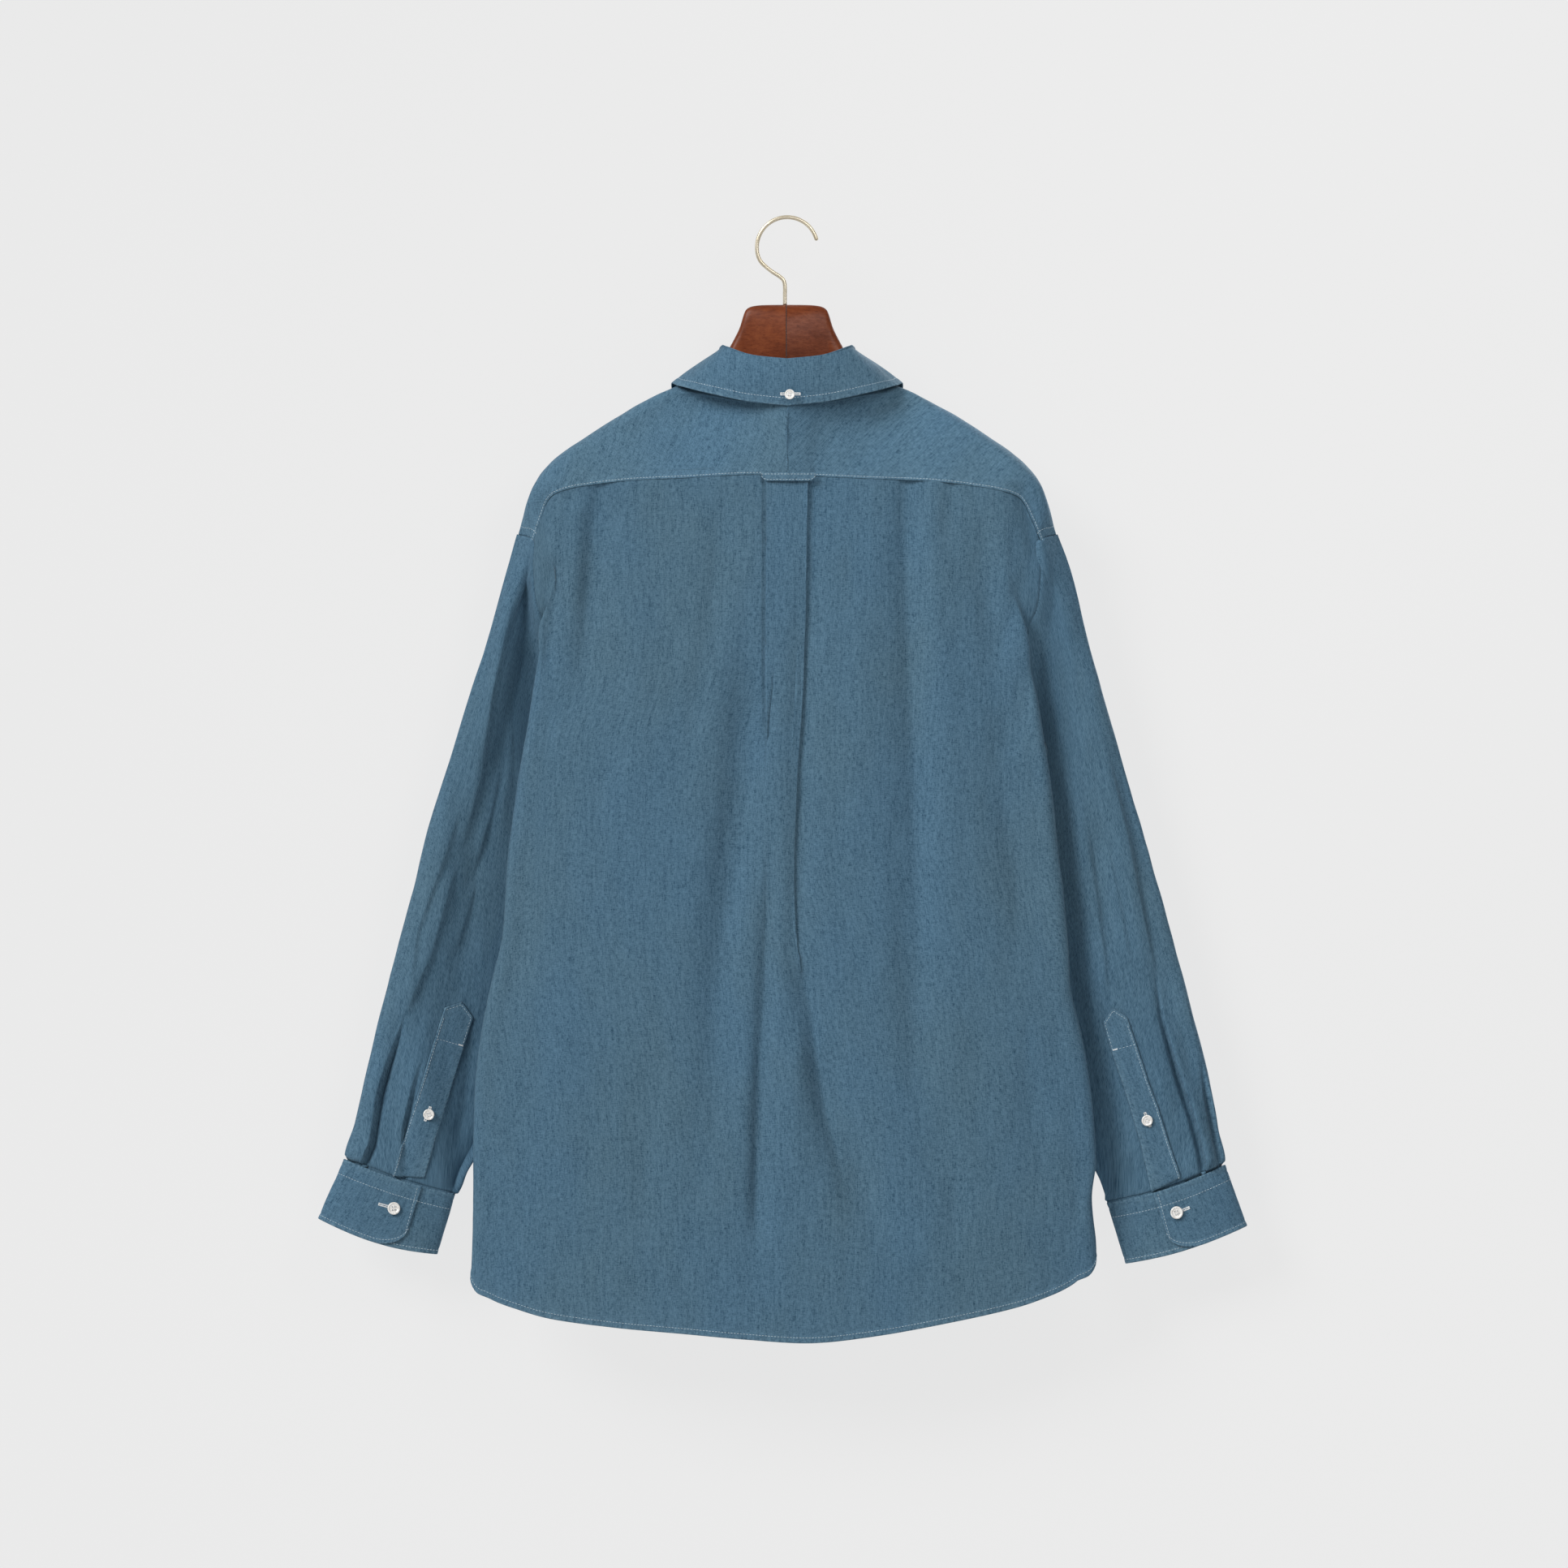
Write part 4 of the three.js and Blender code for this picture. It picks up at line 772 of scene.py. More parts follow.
# Across each edge of the pleat, where it is pressed shut and where it opens: how far out, how proud
PRESSED_EDGE = [(-3, 1), (-0.6, 1), (0, 0.86), (-0.6, 0.7), (-6, 0.62), (-7, 0.4), (-6, 0.2), (0.5, 0.1),
                (4, 0), (8, 0)]
OPEN_EDGE = [(-3, 1), (-1.6, 0.98), (-0.6, 0.9), (0.4, 0.78), (1.4, 0.62), (2.4, 0.45), (3.4, 0.3),
             (4.6, 0.16), (6, 0.05), (8, 0)]


def make_back():
    rows = finer_ends(170, (0.012, 5), (0.018, 12))
    edges = {}
    for side, sign in SIDES.items():
        seam = side_edge(side, "back", rows)
        z = seam[:, 2]
        edge = read(BODY_EDGE, "z", side, z)
        in_x = edge - sign * FOLD_INSET
        flat_z = lerp(seam_z(in_x) - 2.5 * SEAM_GAP, hem_z(in_x), rows)
        flat = back_y(in_x, flat_z)
        folded = smooth(-335, -375, z)[:, None]
        turned = [seam, vec(edge - sign * 4, seam[:, 1] - 2.2, z), vec(edge, (seam[:, 1] + flat) / 2 - 1, z),
                  vec(edge - sign * 5, flat + 1.2, z), vec(in_x, flat, z)]
        line = []
        for k, point in enumerate(turned):
            spot = lerp(lerp(seam, turned[4], k / 4), point, folded)
            eased = lerp(z, flat_z, smooth(0, 4, k))
            at_yoke = seam_z(spot[0, 0]) - 2.5 * SEAM_GAP
            to_yoke = 1 - smooth(0, 0.09, rows)
            spot[:, 2] = eased + (at_yoke - eased[0]) * to_yoke
            spot[:, 1] += (yoke_edge_y(side, spot[0, 0]) + 0.5 - spot[0, 1]) * to_yoke
            line.append(spot)
        edges[side] = on_line(np.stack(line, 1), np.linspace(0, 1, 15))
    left, right = edges["left"], edges["right"][:, ::-1]
    share = rows[:, None]
    from_x, to_x = left[:, -1:, 0], right[:, :1, 0]
    guess = lerp(seam_z(0) - 1, hem_z(0), share)
    pleat_left, pleat_right = pleat_edge(guess, False), pleat_edge(guess, True)
    reach = pleat_reach(guess)
    rise = 0.4 + PLEAT_RISE * reach
    closed_left, closed_right = 1 - smooth(-380, -475, guess), 1 - smooth(-520, -680, guess)
    steps, loose = (on_line(line, np.linspace(0, 1, 28)) for line in (PRESSED_EDGE, OPEN_EDGE))
    left_steps, right_steps = (lerp(loose, steps, shut[..., None]) for shut in (closed_left, closed_right))
    edge_left = pleat_left - left_steps[:, ::-1, 0]
    edge_right = pleat_right + right_steps[:, :, 0]
    between = lambda a, b, count: lerp(a, b, np.linspace(0, 1, count + 1)[1:-1][None])
    strips = [(between(from_x, edge_left[:, :1], 56), 0), (edge_left, left_steps[:, ::-1, 1]),
              (between(edge_left[:, -1:], edge_right[:, :1], 12), 1), (edge_right, right_steps[:, :, 1]),
              (between(edge_right[:, -1:], to_x, 58), 0)]
    x = np.concatenate([strip for strip, _ in strips], 1)
    raised = np.concatenate([np.broadcast_to(proud, strip.shape) for strip, proud in strips], 1)
    z = lerp(seam_z(x) - 2.5 * SEAM_GAP, hem_z(x), share)
    grid = np.concatenate([left, vec(x, back_y(x, z) - raised * rise, z), right], 1)
    # The top few millimetres pass under the yoke
    grid = np.concatenate([grid[:1] + (0, 1.5, 7), grid[:1] + (0, 1.5, 1), grid], 0)
    gx, gz = grid[..., 0], grid[..., 2]
    in_panel = smooth(0, 22, gx - from_x.min()) * smooth(0, 22, to_x.max() - gx)
    relief = 1.75 * creases(gx, gz, BACK_CREASES) * np.clip(in_panel + 0.3, 0, 1)
    relief += 0.6 * unevenness(gx, gz, 21, 90, 3) + 0.36 * unevenness(gx, gz, 9, 34, 4)
    relief += 0.10 * unevenness(gx, gz, 3.2, 9, 5)
    from_edge = gx - pleat_edge(gz, False) + 1.5
    relief -= 1.5 * np.exp(-(from_edge / 1.3) ** 2) * (1 - smooth(-400, -500, gz))
    down = np.linspace(0, 1, len(grid))[:, None]
    relief *= smooth(0.0, 0.02, down)
    # Gathers where the pleats are caught in the yoke seam
    caught = np.exp(-np.maximum(0, (seam_z(gx) - gz)) / 26)
    relief += 0.35 * caught * unevenness(gx, gz, 6.5, 200, 6) * smooth(0.01, 0.03, down)
    cloth("back_panel", grid, relief=relief, hems="b", hem=5.5)


def shoulder_rib(side, row):
    reach, seam, crown, depth, curl = row
    sign = SIDES[side]
    over = depth + WALL + 0.5
    x, seam_x, bow = sign * reach, sign * seam, curl * 0.3
    foot_z = seam_z(seam_x)
    return [
        (seam_x, back_y(seam_x, foot_z) - (PLEAT_RISE if abs(seam_x) < PLEAT_HALF else 0), foot_z),
        (lerp(seam_x, x, 0.6), -over, crown - curl), (x, -over * 0.72, crown - bow), (x, 0, crown),
        (x, over * 0.72, crown - bow), (x, over, crown - curl),
        (x, over + 0.6, crown - 34 * float(smooth(0, 18, curl))),
    ]


def collar_point(side, turn, line, out=0.0):
    x, y, z = (read(COLLAR, "turn", line + axis, turn) for axis in "XYZ")
    length = np.hypot(x, y)
    return vec(SIDES[side] * (x + out * x / length), y + out * y / length, z)


def neck_rib(side):
    sign = SIDES[side]
    rib = [(sign * HALF_SEAM, float(back_y(0, CENTRE_SEAM_Z)) - PLEAT_RISE, float(seam_z(0)))]
    for turn in (0, 0.26, 0.5, 0.58, 0.64, NECK_TURN):
        x, y, z = collar_point(side, turn, "foot")
        x = sign * (0.02 if turn == 0 else abs(x) + 1.2)
        rib.append((x, y, z - (LAYER + 2 * SEAM_GAP + (LAYER * 2.5 if turn < 0.5 else 0))))
    return rib


def armhole_rib(side):
    sign = SIDES[side]
    back = [armhole(sign, YOKE_CORNER * s, "back") for s in (1, 0.6, 0.25, 0)]
    return back + [armhole(sign, YOKE_CORNER * s, "front") for s in (0.25, 0.6, 1)]


def yoke_lines(side):
    ribs = [neck_rib(side)] + [shoulder_rib(side, row) for row in SHOULDER] + [armhole_rib(side)]
    return np.array([[np.array(p, float) for p in rib] for rib in ribs]).transpose(1, 0, 2)


def make_yoke(side):
    sign = SIDES[side]
    lines = yoke_lines(side)
    across = finer_ends(74, (0.02, 4), (0.03, 6))
    share = finer_ends(84, (0.03, 8), (0.03, 6))
    stations = on_line(lines, across).transpose(1, 0, 2)
    grid = on_line(stations, share).transpose(1, 0, 2)
    foot = on_line(lines[0], across)
    down = share[:, None]
    pleat = PLEAT_RISE * (1 - smooth(17.2, 21.2, np.abs(foot[:, 0])))
    exact = yoke_edge_y(side, foot[:, 0]) - pleat
    grid[..., 1] += (exact - foot[:, 1])[None] * (1 - down) ** 4
    grid[..., 2] += (seam_z(foot[:, 0]) - foot[:, 2])[None] * (1 - down) ** 4
    grid[..., 2] -= 0.9 * (1 - smooth(0, 0.05, down))
    grid[..., 0] = sign * np.maximum(0.02, sign * grid[..., 0])
    # The neck edge stands up under the collar by its seam's width
    at_neck = smooth(0.13, 0.2, share)
    lip = grid[:, :1].copy()
    lip[..., 1] -= 0.3 * np.sign(-lip[..., 1] + 4) * at_neck[:, None]
    lip[..., 2] += 4.6 * at_neck[:, None]
    grid = np.concatenate([lip, lerp(lip, grid[:, :1], 0.5), grid], 1)
    x, z = grid[..., 0], grid[..., 2]
    relief = creases(x, z, YOKE_CREASES[side]) * (grid[..., 1] < 4)
    relief += 0.35 * unevenness(x, z, 38, 16, 11 + sign) + 0.16 * unevenness(x, z, 12, 8, 14 + sign)
    # The centre seam lies a little low
    relief += 0.35
    relief -= 0.45 * np.exp(-np.abs(x) / 2.0) * (z > -240)
    near = np.minimum(down, 1 - down)
    relief *= 0.35 + 0.65 * smooth(0, 0.06, near)
    # The yoke wears the paler copy of the chambray, painted lighter for the light from above.
    cloth("yoke_" + side + "_cloth", grid, inward=-sign, relief=relief, hems="t", hem=3.2, hem_rise=0.5,
          material=YOKE_CLOTH_PAINTED_LIGHTER, turn_grain=YOKE_BIAS * sign, wear=0.55)


YOKE_CREASES = {
    "left": [
        ([(838, 480), (800, 520), (768, 566)], 9, 1.0, (0.1, 0.5), 1.2),
        ([(868, 492), (842, 530), (830, 576)], 10, 0.8, (0.2, 0.5), 0.8),
        ([(742, 536), (712, 566), (690, 596)], 8, 0.9, (0.3, 0.4), 1.0),
        ([(920, 505), (918, 540), (914, 576)], 9, 0.6, (0.3, 0.4), 1.0),
        ([(670, 585), (662, 610), (656, 640)], 6, 0.8, (0.2, 0.3), 1.0),
    ],
    "right": [
        ([(1100, 482), (1138, 520), (1166, 570)], 9, 1.0, (0.1, 0.5), 0.8),
        ([(1064, 492), (1092, 530), (1108, 580)], 10, 0.9, (0.2, 0.5), 1.2),
        ([(1195, 540), (1222, 566), (1240, 596)], 8, 0.9, (0.3, 0.4), 1.0),
        ([(1014, 505), (1020, 545), (1022, 578)], 9, 0.6, (0.3, 0.4), 1.0),
        ([(1258, 590), (1270, 620), (1278, 656)], 6, 1.2, (0.2, 0.3), 1.0),
    ],
}


def shoulder_seam(side, share):
    return on_line(yoke_lines(side)[6], share)


def front_top(side, share):
    share = np.asarray(share, float)
    seam = shoulder_seam(side, np.clip(1 - share / SHOULDER_SHARE, 0, 1))
    seam[..., 2] -= 2 * SEAM_GAP
    turn = lerp(NECK_TURN, 1, np.clip((share - SHOULDER_SHARE) / (1 - SHOULDER_SHARE), 0, 1))
    foot = collar_point(side, turn, "foot")
    foot[..., 2] -= LAYER * (1.6 + 0.4 * smooth(NECK_TURN, 0.8, turn))
    return np.where((share <= SHOULDER_SHARE)[..., None], seam, foot)


def front_centre(side, share):
    z = lerp(front_top(side, 1.0)[2], FRONT_HEM_Z, np.asarray(share, float))
    return vec(0, read(BODY_DEPTH, "z", "frontMid", z), z)


def front_side(side, share):
    point = side_edge(side, "front", share)
    point[..., 0] -= SIDES[side] * 7.5 * SEAM_GAP
    point[..., 1] += 3 * SEAM_GAP
    return point


def front_hem(side, share):
    share = np.asarray(share, float)[..., None]
    drop = np.concatenate([np.zeros(share.shape[:-1] + (2,)), -12 * np.sin(math.pi * share)], -1)
    return lerp(front_side(side, 1.0), front_centre(side, 1.0), share) + drop


def front_point(side, across, down):
    """A point of the front panel, blended from its four edges."""
    a, d = np.broadcast_arrays(across, down)
    u, v = a[..., None], d[..., None]
    return (front_top(side, a) * (1 - v) + front_hem(side, a) * v + front_side(side, d) * (1 - u)
            + front_centre(side, d) * u - front_top(side, 0.0) * (1 - u) * (1 - v)
            - front_top(side, 1.0) * u * (1 - v) - front_hem(side, 0.0) * (1 - u) * v
            - front_hem(side, 1.0) * u * v)


def front_lift(side, x):
    return 1.4 * LAYER * (1 - smooth(22, 70, np.abs(x))) if side == "left" else np.zeros_like(x)


def centre_point(side, x, down):
    middle = front_point(side, 1.0, down)
    near = front_point(side, NEAR_CENTRE, down)
    toward_near = np.abs(x / near[..., 0])
    point = lerp(middle, near, toward_near[..., None])
    # The strips' tops run straight across under the stand
    straight = (near[..., 2] - middle[..., 2]) * (1 - toward_near) * (1 - smooth(0, 0.05, down))
    return vec(x, point[..., 1] + front_lift(side, x), point[..., 2] + 0.85 * straight)


# The front's own creases, in millimetres on the left panel, and mirrored unevenly on the right
FRONT_CREASES = [
    ([(-150, -235), (-120, -330), (-105, -470)], 13, 1.6, (0.2, 0.5), 1.3),
    ([(-80, -245), (-86, -400), (-78, -560)], 11, 1.3, (0.3, 0.5), 0.8),
    ([(-190, -400), (-160, -480), (-140, -600)], 12, 1.7, (0.2, 0.5), 1.2),
    ([(-208, -500), (-180, -640), (-176, -800)], 15, -1.5, (0.3, 0.4), 1.0),
    ([(-120, -560), (-128, -720), (-122, -880)], 14, 1.6, (0.3, 0.3), 0.8),
    ([(-62, -600), (-56, -740), (-60, -900)], 11, -1.2, (0.3, 0.3), 1.1),
    ([(-230, -640), (-222, -760), (-226, -860)], 11, 1.2, (0.3, 0.3), 1.0),
    ([(-204, -300), (-186, -350), (-176, -420)], 8, 1.2, (0.2, 0.5), 1.0),
    ([(-40, -300), (-44, -420), (-38, -520)], 8, 0.8, (0.3, 0.4), 1.0),
]


def make_front(side):
    sign = SIDES[side]
    across = np.concatenate([np.linspace(0, 0.04, 6)[:-1], np.linspace(0.04, NEAR_CENTRE, 64)])
    down = finer_ends(130, (0.006, 3), (0.015, 8))
    main = front_point(side, across[None], down[:, None])
    main[..., 1] += front_lift(side, main[..., 0])
    edge_x = main[:, -1, 0]
    beyond = [centre_point(side, lerp(edge_x, -sign * CENTRE_OVERLAP, share), down)
              for share in np.linspace(0, 1, 14)[1:]]
    grid = np.concatenate([main, np.stack(beyond, 1)], 1)
    x, z = grid[..., 0], grid[..., 2]
    mirrored = x * -sign
    stretch = 1.0 if side == "left" else 1.07
    relief = creases(mirrored * stretch, z + (0 if side == "left" else 23), FRONT_CREASES, picture=False)
    relief += 0.4 * unevenness(x, z, 19, 80, 21 + sign) + 0.2 * unevenness(x, z, 8, 30, 24 + sign)
    flat_centre = smooth(18, 44, np.abs(x))
    relief *= flat_centre * smooth(0, 0.05, np.minimum(down, 1.2 - down))[:, None] + 0.02
    relief *= 0.3 + 0.7 * smooth(0, 0.05, across[0] + np.linspace(0, 1, grid.shape[1]))[None]
    cloth("front_" + side + "_cloth", grid, inward=sign, relief=relief, hems="br", hem=5.5, hem_rise=0.35)


def make_front_placket():
    down = lerp(0.004, 0.996, finer_ends(150, (0.01, 3), (0.01, 3)))
    columns = []
    for share in finer_ends(16, (0.1, 4), (0.1, 4)):
        x = np.full_like(down, lerp(CENTRE_OVERLAP, -CENTRE_OVERLAP, share))
        spot = centre_point("left", x, down)
        spot[:, 1] += LAYER + 0.2
        columns.append(spot)
    grid = np.stack(columns, 1)
    x, z = grid[..., 0], grid[..., 2]
    relief = 0.12 * unevenness(x, z, 7, 15, 31) + 0.1 * unevenness(x, z, 30, 60, 32)
    near = np.minimum(CENTRE_OVERLAP - np.abs(x), 6)
    relief -= 0.3 * np.exp(-((near - 4.5) / 0.9) ** 2)
    cloth("front_placket_cloth", grid, relief=relief, hems="lr", hem=2.5, hem_rise=0.15)


# Sleeves and cuffs

# How far the hollow of the left sleeve reaches out from the body, at heights from the cuff up
LEFT_VALLEY_Z = [-830, -792, -687, -596, -512, -428, -330, -272]
LEFT_VALLEY_REACH = [26, 33, 50, 50, 42, 32, 19, 12]
SLEEVE_RIDGES = {  # picture line from below, rise, run
    "left": [
        ([(492, 1262), (528, 1180), (548, 1110), (560, 1060)], 3.6, 12),
        ([(560, 1065), (590, 960), (604, 860), (622, 780), (640, 700), (650, 664)], 3.6, 11),
        ([(500, 1240), (512, 1150), (548, 1050), (566, 985)], 2.4, 14),
        ([(578, 1080), (600, 1010), (614, 940)], 2.0, 8),
        ([(556, 1180), (572, 1130), (584, 1085)], 1.5, 7),
    ],
    "right": [
        ([(1427, 1215), (1408, 1120), (1388, 1020), (1362, 920)], 3.0, 14),
        ([(1361, 1262), (1362, 1190), (1352, 1110), (1338, 1010)], 2.0, 10),
        ([(1395, 1200), (1378, 1110), (1364, 1040)], 1.6, 9),
    ],
}
SLEEVE_FOLDS = {
    "left": [
        ([(500, 1215), (484, 1300), (462, 1385)], 8, 1.8, (0.4, 0.3), 1.2),
        ([(612, 740), (592, 860), (570, 980), (548, 1090)], 10, 1.4, (0.3, 0.5), 0.8),
        ([(650, 700), (634, 800), (618, 900), (600, 1010)], 11, 2.1, (0.1, 0.4), 1.2),
        ([(596, 1020), (580, 1120), (560, 1210)], 12, 1.5, (0.3, 0.4), 0.8),
        ([(560, 930), (538, 1040), (514, 1150)], 9, -1.3, (0.3, 0.4), 1.0),
        ([(632, 860), (622, 960), (612, 1060)], 7, -1.2, (0.3, 0.4), 1.0),
        ([(540, 1120), (520, 1220), (500, 1320)], 8, 1.1, (0.3, 0.4), 1.3),
        ([(596, 1180), (584, 1270), (572, 1370), (556, 1440)], 7, 1.5, (0.3, 0.2), 1.0),
        ([(644, 668), (634, 720), (622, 770)], 6, 1.2, (0.1, 0.5), 1.0),
        ([(478, 1230), (456, 1330), (436, 1420)], 7, -1.0, (0.3, 0.2), 1.0),
    ],
    "right": [
        ([(1290, 690), (1306, 790), (1320, 900), (1336, 1010)], 11, 2.1, (0.1, 0.4), 0.8),
        ([(1395, 940), (1410, 1090), (1430, 1200), (1447, 1300), (1468, 1400)], 10, 1.9, (0.25, 0.1), 1.2),
        ([(1345, 1000), (1362, 1110), (1378, 1200)], 10, 1.5, (0.3, 0.4), 1.1),
        ([(1334, 760), (1354, 870), (1374, 980)], 9, -1.3, (0.3, 0.4), 1.0),
        ([(1320, 900), (1332, 1010), (1342, 1110)], 7, -1.2, (0.3, 0.4), 1.0),
        ([(1372, 900), (1392, 1000), (1412, 1090)], 7, 1.0, (0.3, 0.4), 0.8),
        ([(1349, 1190), (1362, 1290), (1376, 1390), (1388, 1450)], 7, 1.4, (0.3, 0.2), 1.0),
        ([(1298, 672), (1308, 730), (1320, 780)], 6, 1.2, (0.1, 0.5), 1.0),
        ([(1455, 1180), (1472, 1270), (1484, 1350)], 8, -1.1, (0.3, 0.3), 1.0),
    ],
}
CUFF_PLEATS = {  # picture line, rise, run, the side its slope lies to
    "left": [([(442.5, 1437), (454, 1410), (464, 1346), (474, 1313), (492, 1262), (498, 1239)], 5.0, 9, 1),
             ([(492, 1450), (494, 1392), (506, 1340), (520, 1295)], 2.8, 8, 1)],
    "right": [([(1489.6, 1444), (1483, 1410), (1473, 1374), (1455, 1323), (1436, 1256), (1427, 1190)],
               5.5, 9, -1),
              ([(1508.8, 1436), (1502, 1400), (1496, 1371), (1483, 1305)], 4.0, 7, -1)],
}


def sleeve_ring(side, along, turn):
    """The sleeve's plain outside; its turn starts at the outer edge and runs over the back first."""
    sign, cuff = SIDES[side], CUFF[side]
    outer_z = lerp(SLEEVE_TOP_Z, cuff["topOuterZ"], along)
    inner_z = lerp(UNDERARM_Z, cuff["topInnerZ"], along)
    across = (1 - np.cos(turn)) / 2
    point = vec(
        sign * lerp(read(SLEEVE_OUTER, "z", side, outer_z), read(SLEEVE_INNER, "z", side, inner_z), across),
        lerp(read(SLEEVE_LIE, "along", "outerY", along), read(SLEEVE_LIE, "along", "innerY", along), across),
        lerp(outer_z, inner_z, across) - cuff["topSag"] * np.sin(math.pi * across) * smooth(0.7, 1, along),
    )
    settled = smooth(0, SLEEVE_SETTLED, along)
    back = turn <= math.pi
    at_seam = np.where(back[..., None], armhole(sign, across, "back"), armhole(sign, across, "front"))
    straight = lerp(armhole(sign, 0.0, "back"), armhole(sign, 1.0, "back"), across[..., None])
    wave = np.sin(turn)
    bulge = -read(SLEEVE_LIE, "along", "depth", along) * np.sign(wave) * np.abs(wave) ** 0.8
    point = point + (at_seam - straight) * (1 - settled)[..., None]
    point[..., 1] += bulge * settled
    point[..., 0] += sign * SLEEVE_GAP * (1 - settled)
    point[..., 1] += np.where(back, 0.3, 2.4) * SLEEVE_GAP * across * (1 - settled)
    return point


def make_sleeve(side):
    sign = SIDES[side]
    along = finer_ends(165, (0.02, 6), (0.01, 4))[:, None]
    # Columns lie closer over the pleats
    spans = ((0, 0.3, 7), (0.3, 1.55, 76), (1.55, math.pi, 44), (math.pi, FULL_TURN, 45))
    turn = np.concatenate([np.linspace(start, end, count)[:-1] for start, end, count in spans])[None]
    along, turn = np.broadcast_arrays(along, turn)
    grid = sleeve_ring(side, along, turn)
    # The head of the sleeve slips under the body's edge
    under = grid[:1] + unit(grid[:1].mean(1, keepdims=True) - grid[:1])
    under[..., 0] -= sign * 5
    grid = np.concatenate([under, grid], 0)
    x, z = grid[..., 0], grid[..., 2]
    wave = np.sin(turn)
    wave = np.concatenate([wave[:1], wave], 0)
    # Both faces lie still along their common outer edge. The front borrows the other sleeve's folds
    behind, ahead = smooth(0.02, 0.36, wave), smooth(0.05, 0.5, -wave)
    other = "right" if side == "left" else "left"
    relief = 1.5 * creases(x, z, SLEEVE_FOLDS[side]) * behind
    relief += 1.5 * creases(-x, z + 14, SLEEVE_FOLDS[other]) * ahead
    from_body = sign * x - np.abs(read(BODY_EDGE, "z", side, z))
    valley = smooth(-272, -330, z) * (1 - 0.45 * smooth(-660, -820, z))
    if side == "left":
        deep, power, reach = 16.0, 4, np.interp(z, LEFT_VALLEY_Z, LEFT_VALLEY_REACH)
    else:
        deep, power, reach = 9.5, 2, 18
    span = (from_body + 4) / np.where(from_body > -4, reach, 6)
    relief -= deep * np.exp(-np.abs(span) ** power) * valley * behind
    for line, rise, run in SLEEVE_RIDGES[side]:
        relief += folded_pleat(x, z, line, rise, run, (0.25, 0.2), 1, 2.6) * behind
    for line, rise, run, turned in CUFF_PLEATS[side]:
        relief += folded_pleat(x, z, line, rise, run, (0.0, 0.5), turned, 1.0, 1.0) * behind
    relief += 0.4 * unevenness(x * sign, z, 12, 55, 41 + sign)
    relief += 0.22 * unevenness(x * sign, z, 6, 22, 44 + sign)
    steps = np.concatenate([[0], along[:, 0]])[:, None]
    relief *= smooth(0, 0.06, steps)
    relief *= 0.35 + 0.65 * (1 - smooth(0.985, 1, steps))
    relief = np.clip(relief, -16, 5)
    relief += 2.6 * smooth(0.94, 0.985, steps) * (1 - smooth(0.994, 1, steps))
    # Its end is caught inside the cuff
    caught = [cuff_ring(side, down, turn[0], out)
              for down, out in ((-0.022, 0.3), (0.02, -0.9), (0.09, -1.1))]
    grid = np.concatenate([grid, np.stack(caught)], 0)
    relief = np.concatenate([relief, np.zeros((len(caught), relief.shape[1]))], 0)
    cloth("sleeve_" + side + "_cloth", grid, inward=-sign, closed=True, relief=relief, centre=0)


def cuff_ring(side, along, turn, out=0.0):
    sign, cuff = SIDES[side], CUFF[side]
    across = (1 - np.cos(turn)) / 2
    top_outer, top_inner = read(SLEEVE_OUTER, "z", side, -813), read(SLEEVE_INNER, "z", side, -844)
    top_x, top_z = lerp(top_outer, top_inner, across), lerp(cuff["topOuterZ"], cuff["topInnerZ"], across)
    end_x, end_z = (lerp(cuff["endOuter" + axis], cuff["endInner" + axis], across) for axis in "XZ")
    sag = lerp(cuff["topSag"], cuff["endSag"], along) * np.sin(math.pi * across)
    swell = lerp(9.8, 11, along) + out
    wave = np.sin(turn)
    return vec(sign * (lerp(top_x, end_x, along) + out * np.cos(turn)),
               20 - swell * np.sign(wave) * np.abs(wave) ** 0.8, lerp(top_z, end_z, along) - sag)


def make_cuff(side):
    sign, cuff = SIDES[side], CUFF[side]
    turn_at = lambda across: math.acos(1 - 2 * across)
    start = turn_at(cuff["freeEdge"] - CUFF_LAP)
    end = FULL_TURN + turn_at(cuff["freeEdge"])
    share = finer_ends(120, (0.01, 4), (0.06, 22))[None]
    down = finer_ends(26, (0.12, 8), (0.12, 8))[:, None]
    turn = lerp(start, end, share)
    out = 1 + LAYER * 1.15 * smooth(FULL_TURN * 0.5, FULL_TURN + start - 0.1, turn)
    from_end = np.maximum(0, 1 - (1 - share) / 0.075)
    length = 1 - 0.30 * (1 - np.sqrt(1 - from_end ** 2 * 0.98))
    along = 0.012 + (1 - 0.012) * down * length
    along, turn, out = np.broadcast_arrays(along, turn, out)
    grid = cuff_ring(side, along, turn, out)
    x, z = grid[..., 0], grid[..., 2]
    relief = 0.22 * unevenness(x * sign, z, 14, 18, 51 + sign)
    relief += 0.12 * unevenness(x * sign, z, 5, 9, 54 + sign)
    # Rows of stitching pull the doubled cloth in
    relief -= 0.3 * np.exp(-((down - 0.09) / 0.02) ** 2) + 0.3 * np.exp(-((down - 0.91) / 0.02) ** 2)
    relief += 0.16 * np.exp(-((down - 0.03) / 0.04) ** 2) * np.sin(x * 1.1 + z * 0.4)
    cloth("cuff_" + side + "_cloth", grid, inward=-sign, relief=relief, hems="tblr", hem=1.6, hem_rise=0.1,
          thick=1.1, wear=0.9)


def surface_of(name):
    """The faces of a finished cloth, for finding where a spot on it lies."""
    mesh = SHEETS[name]["piece"].data
    index = np.zeros(len(mesh.loops), np.int32)
    mesh.loops.foreach_get("vertex_index", index)
    points = (corners_of(mesh) / MM).tolist()
    return BVHTree.FromPolygons(points, index.reshape(-1, 4).tolist(), all_triangles=False)


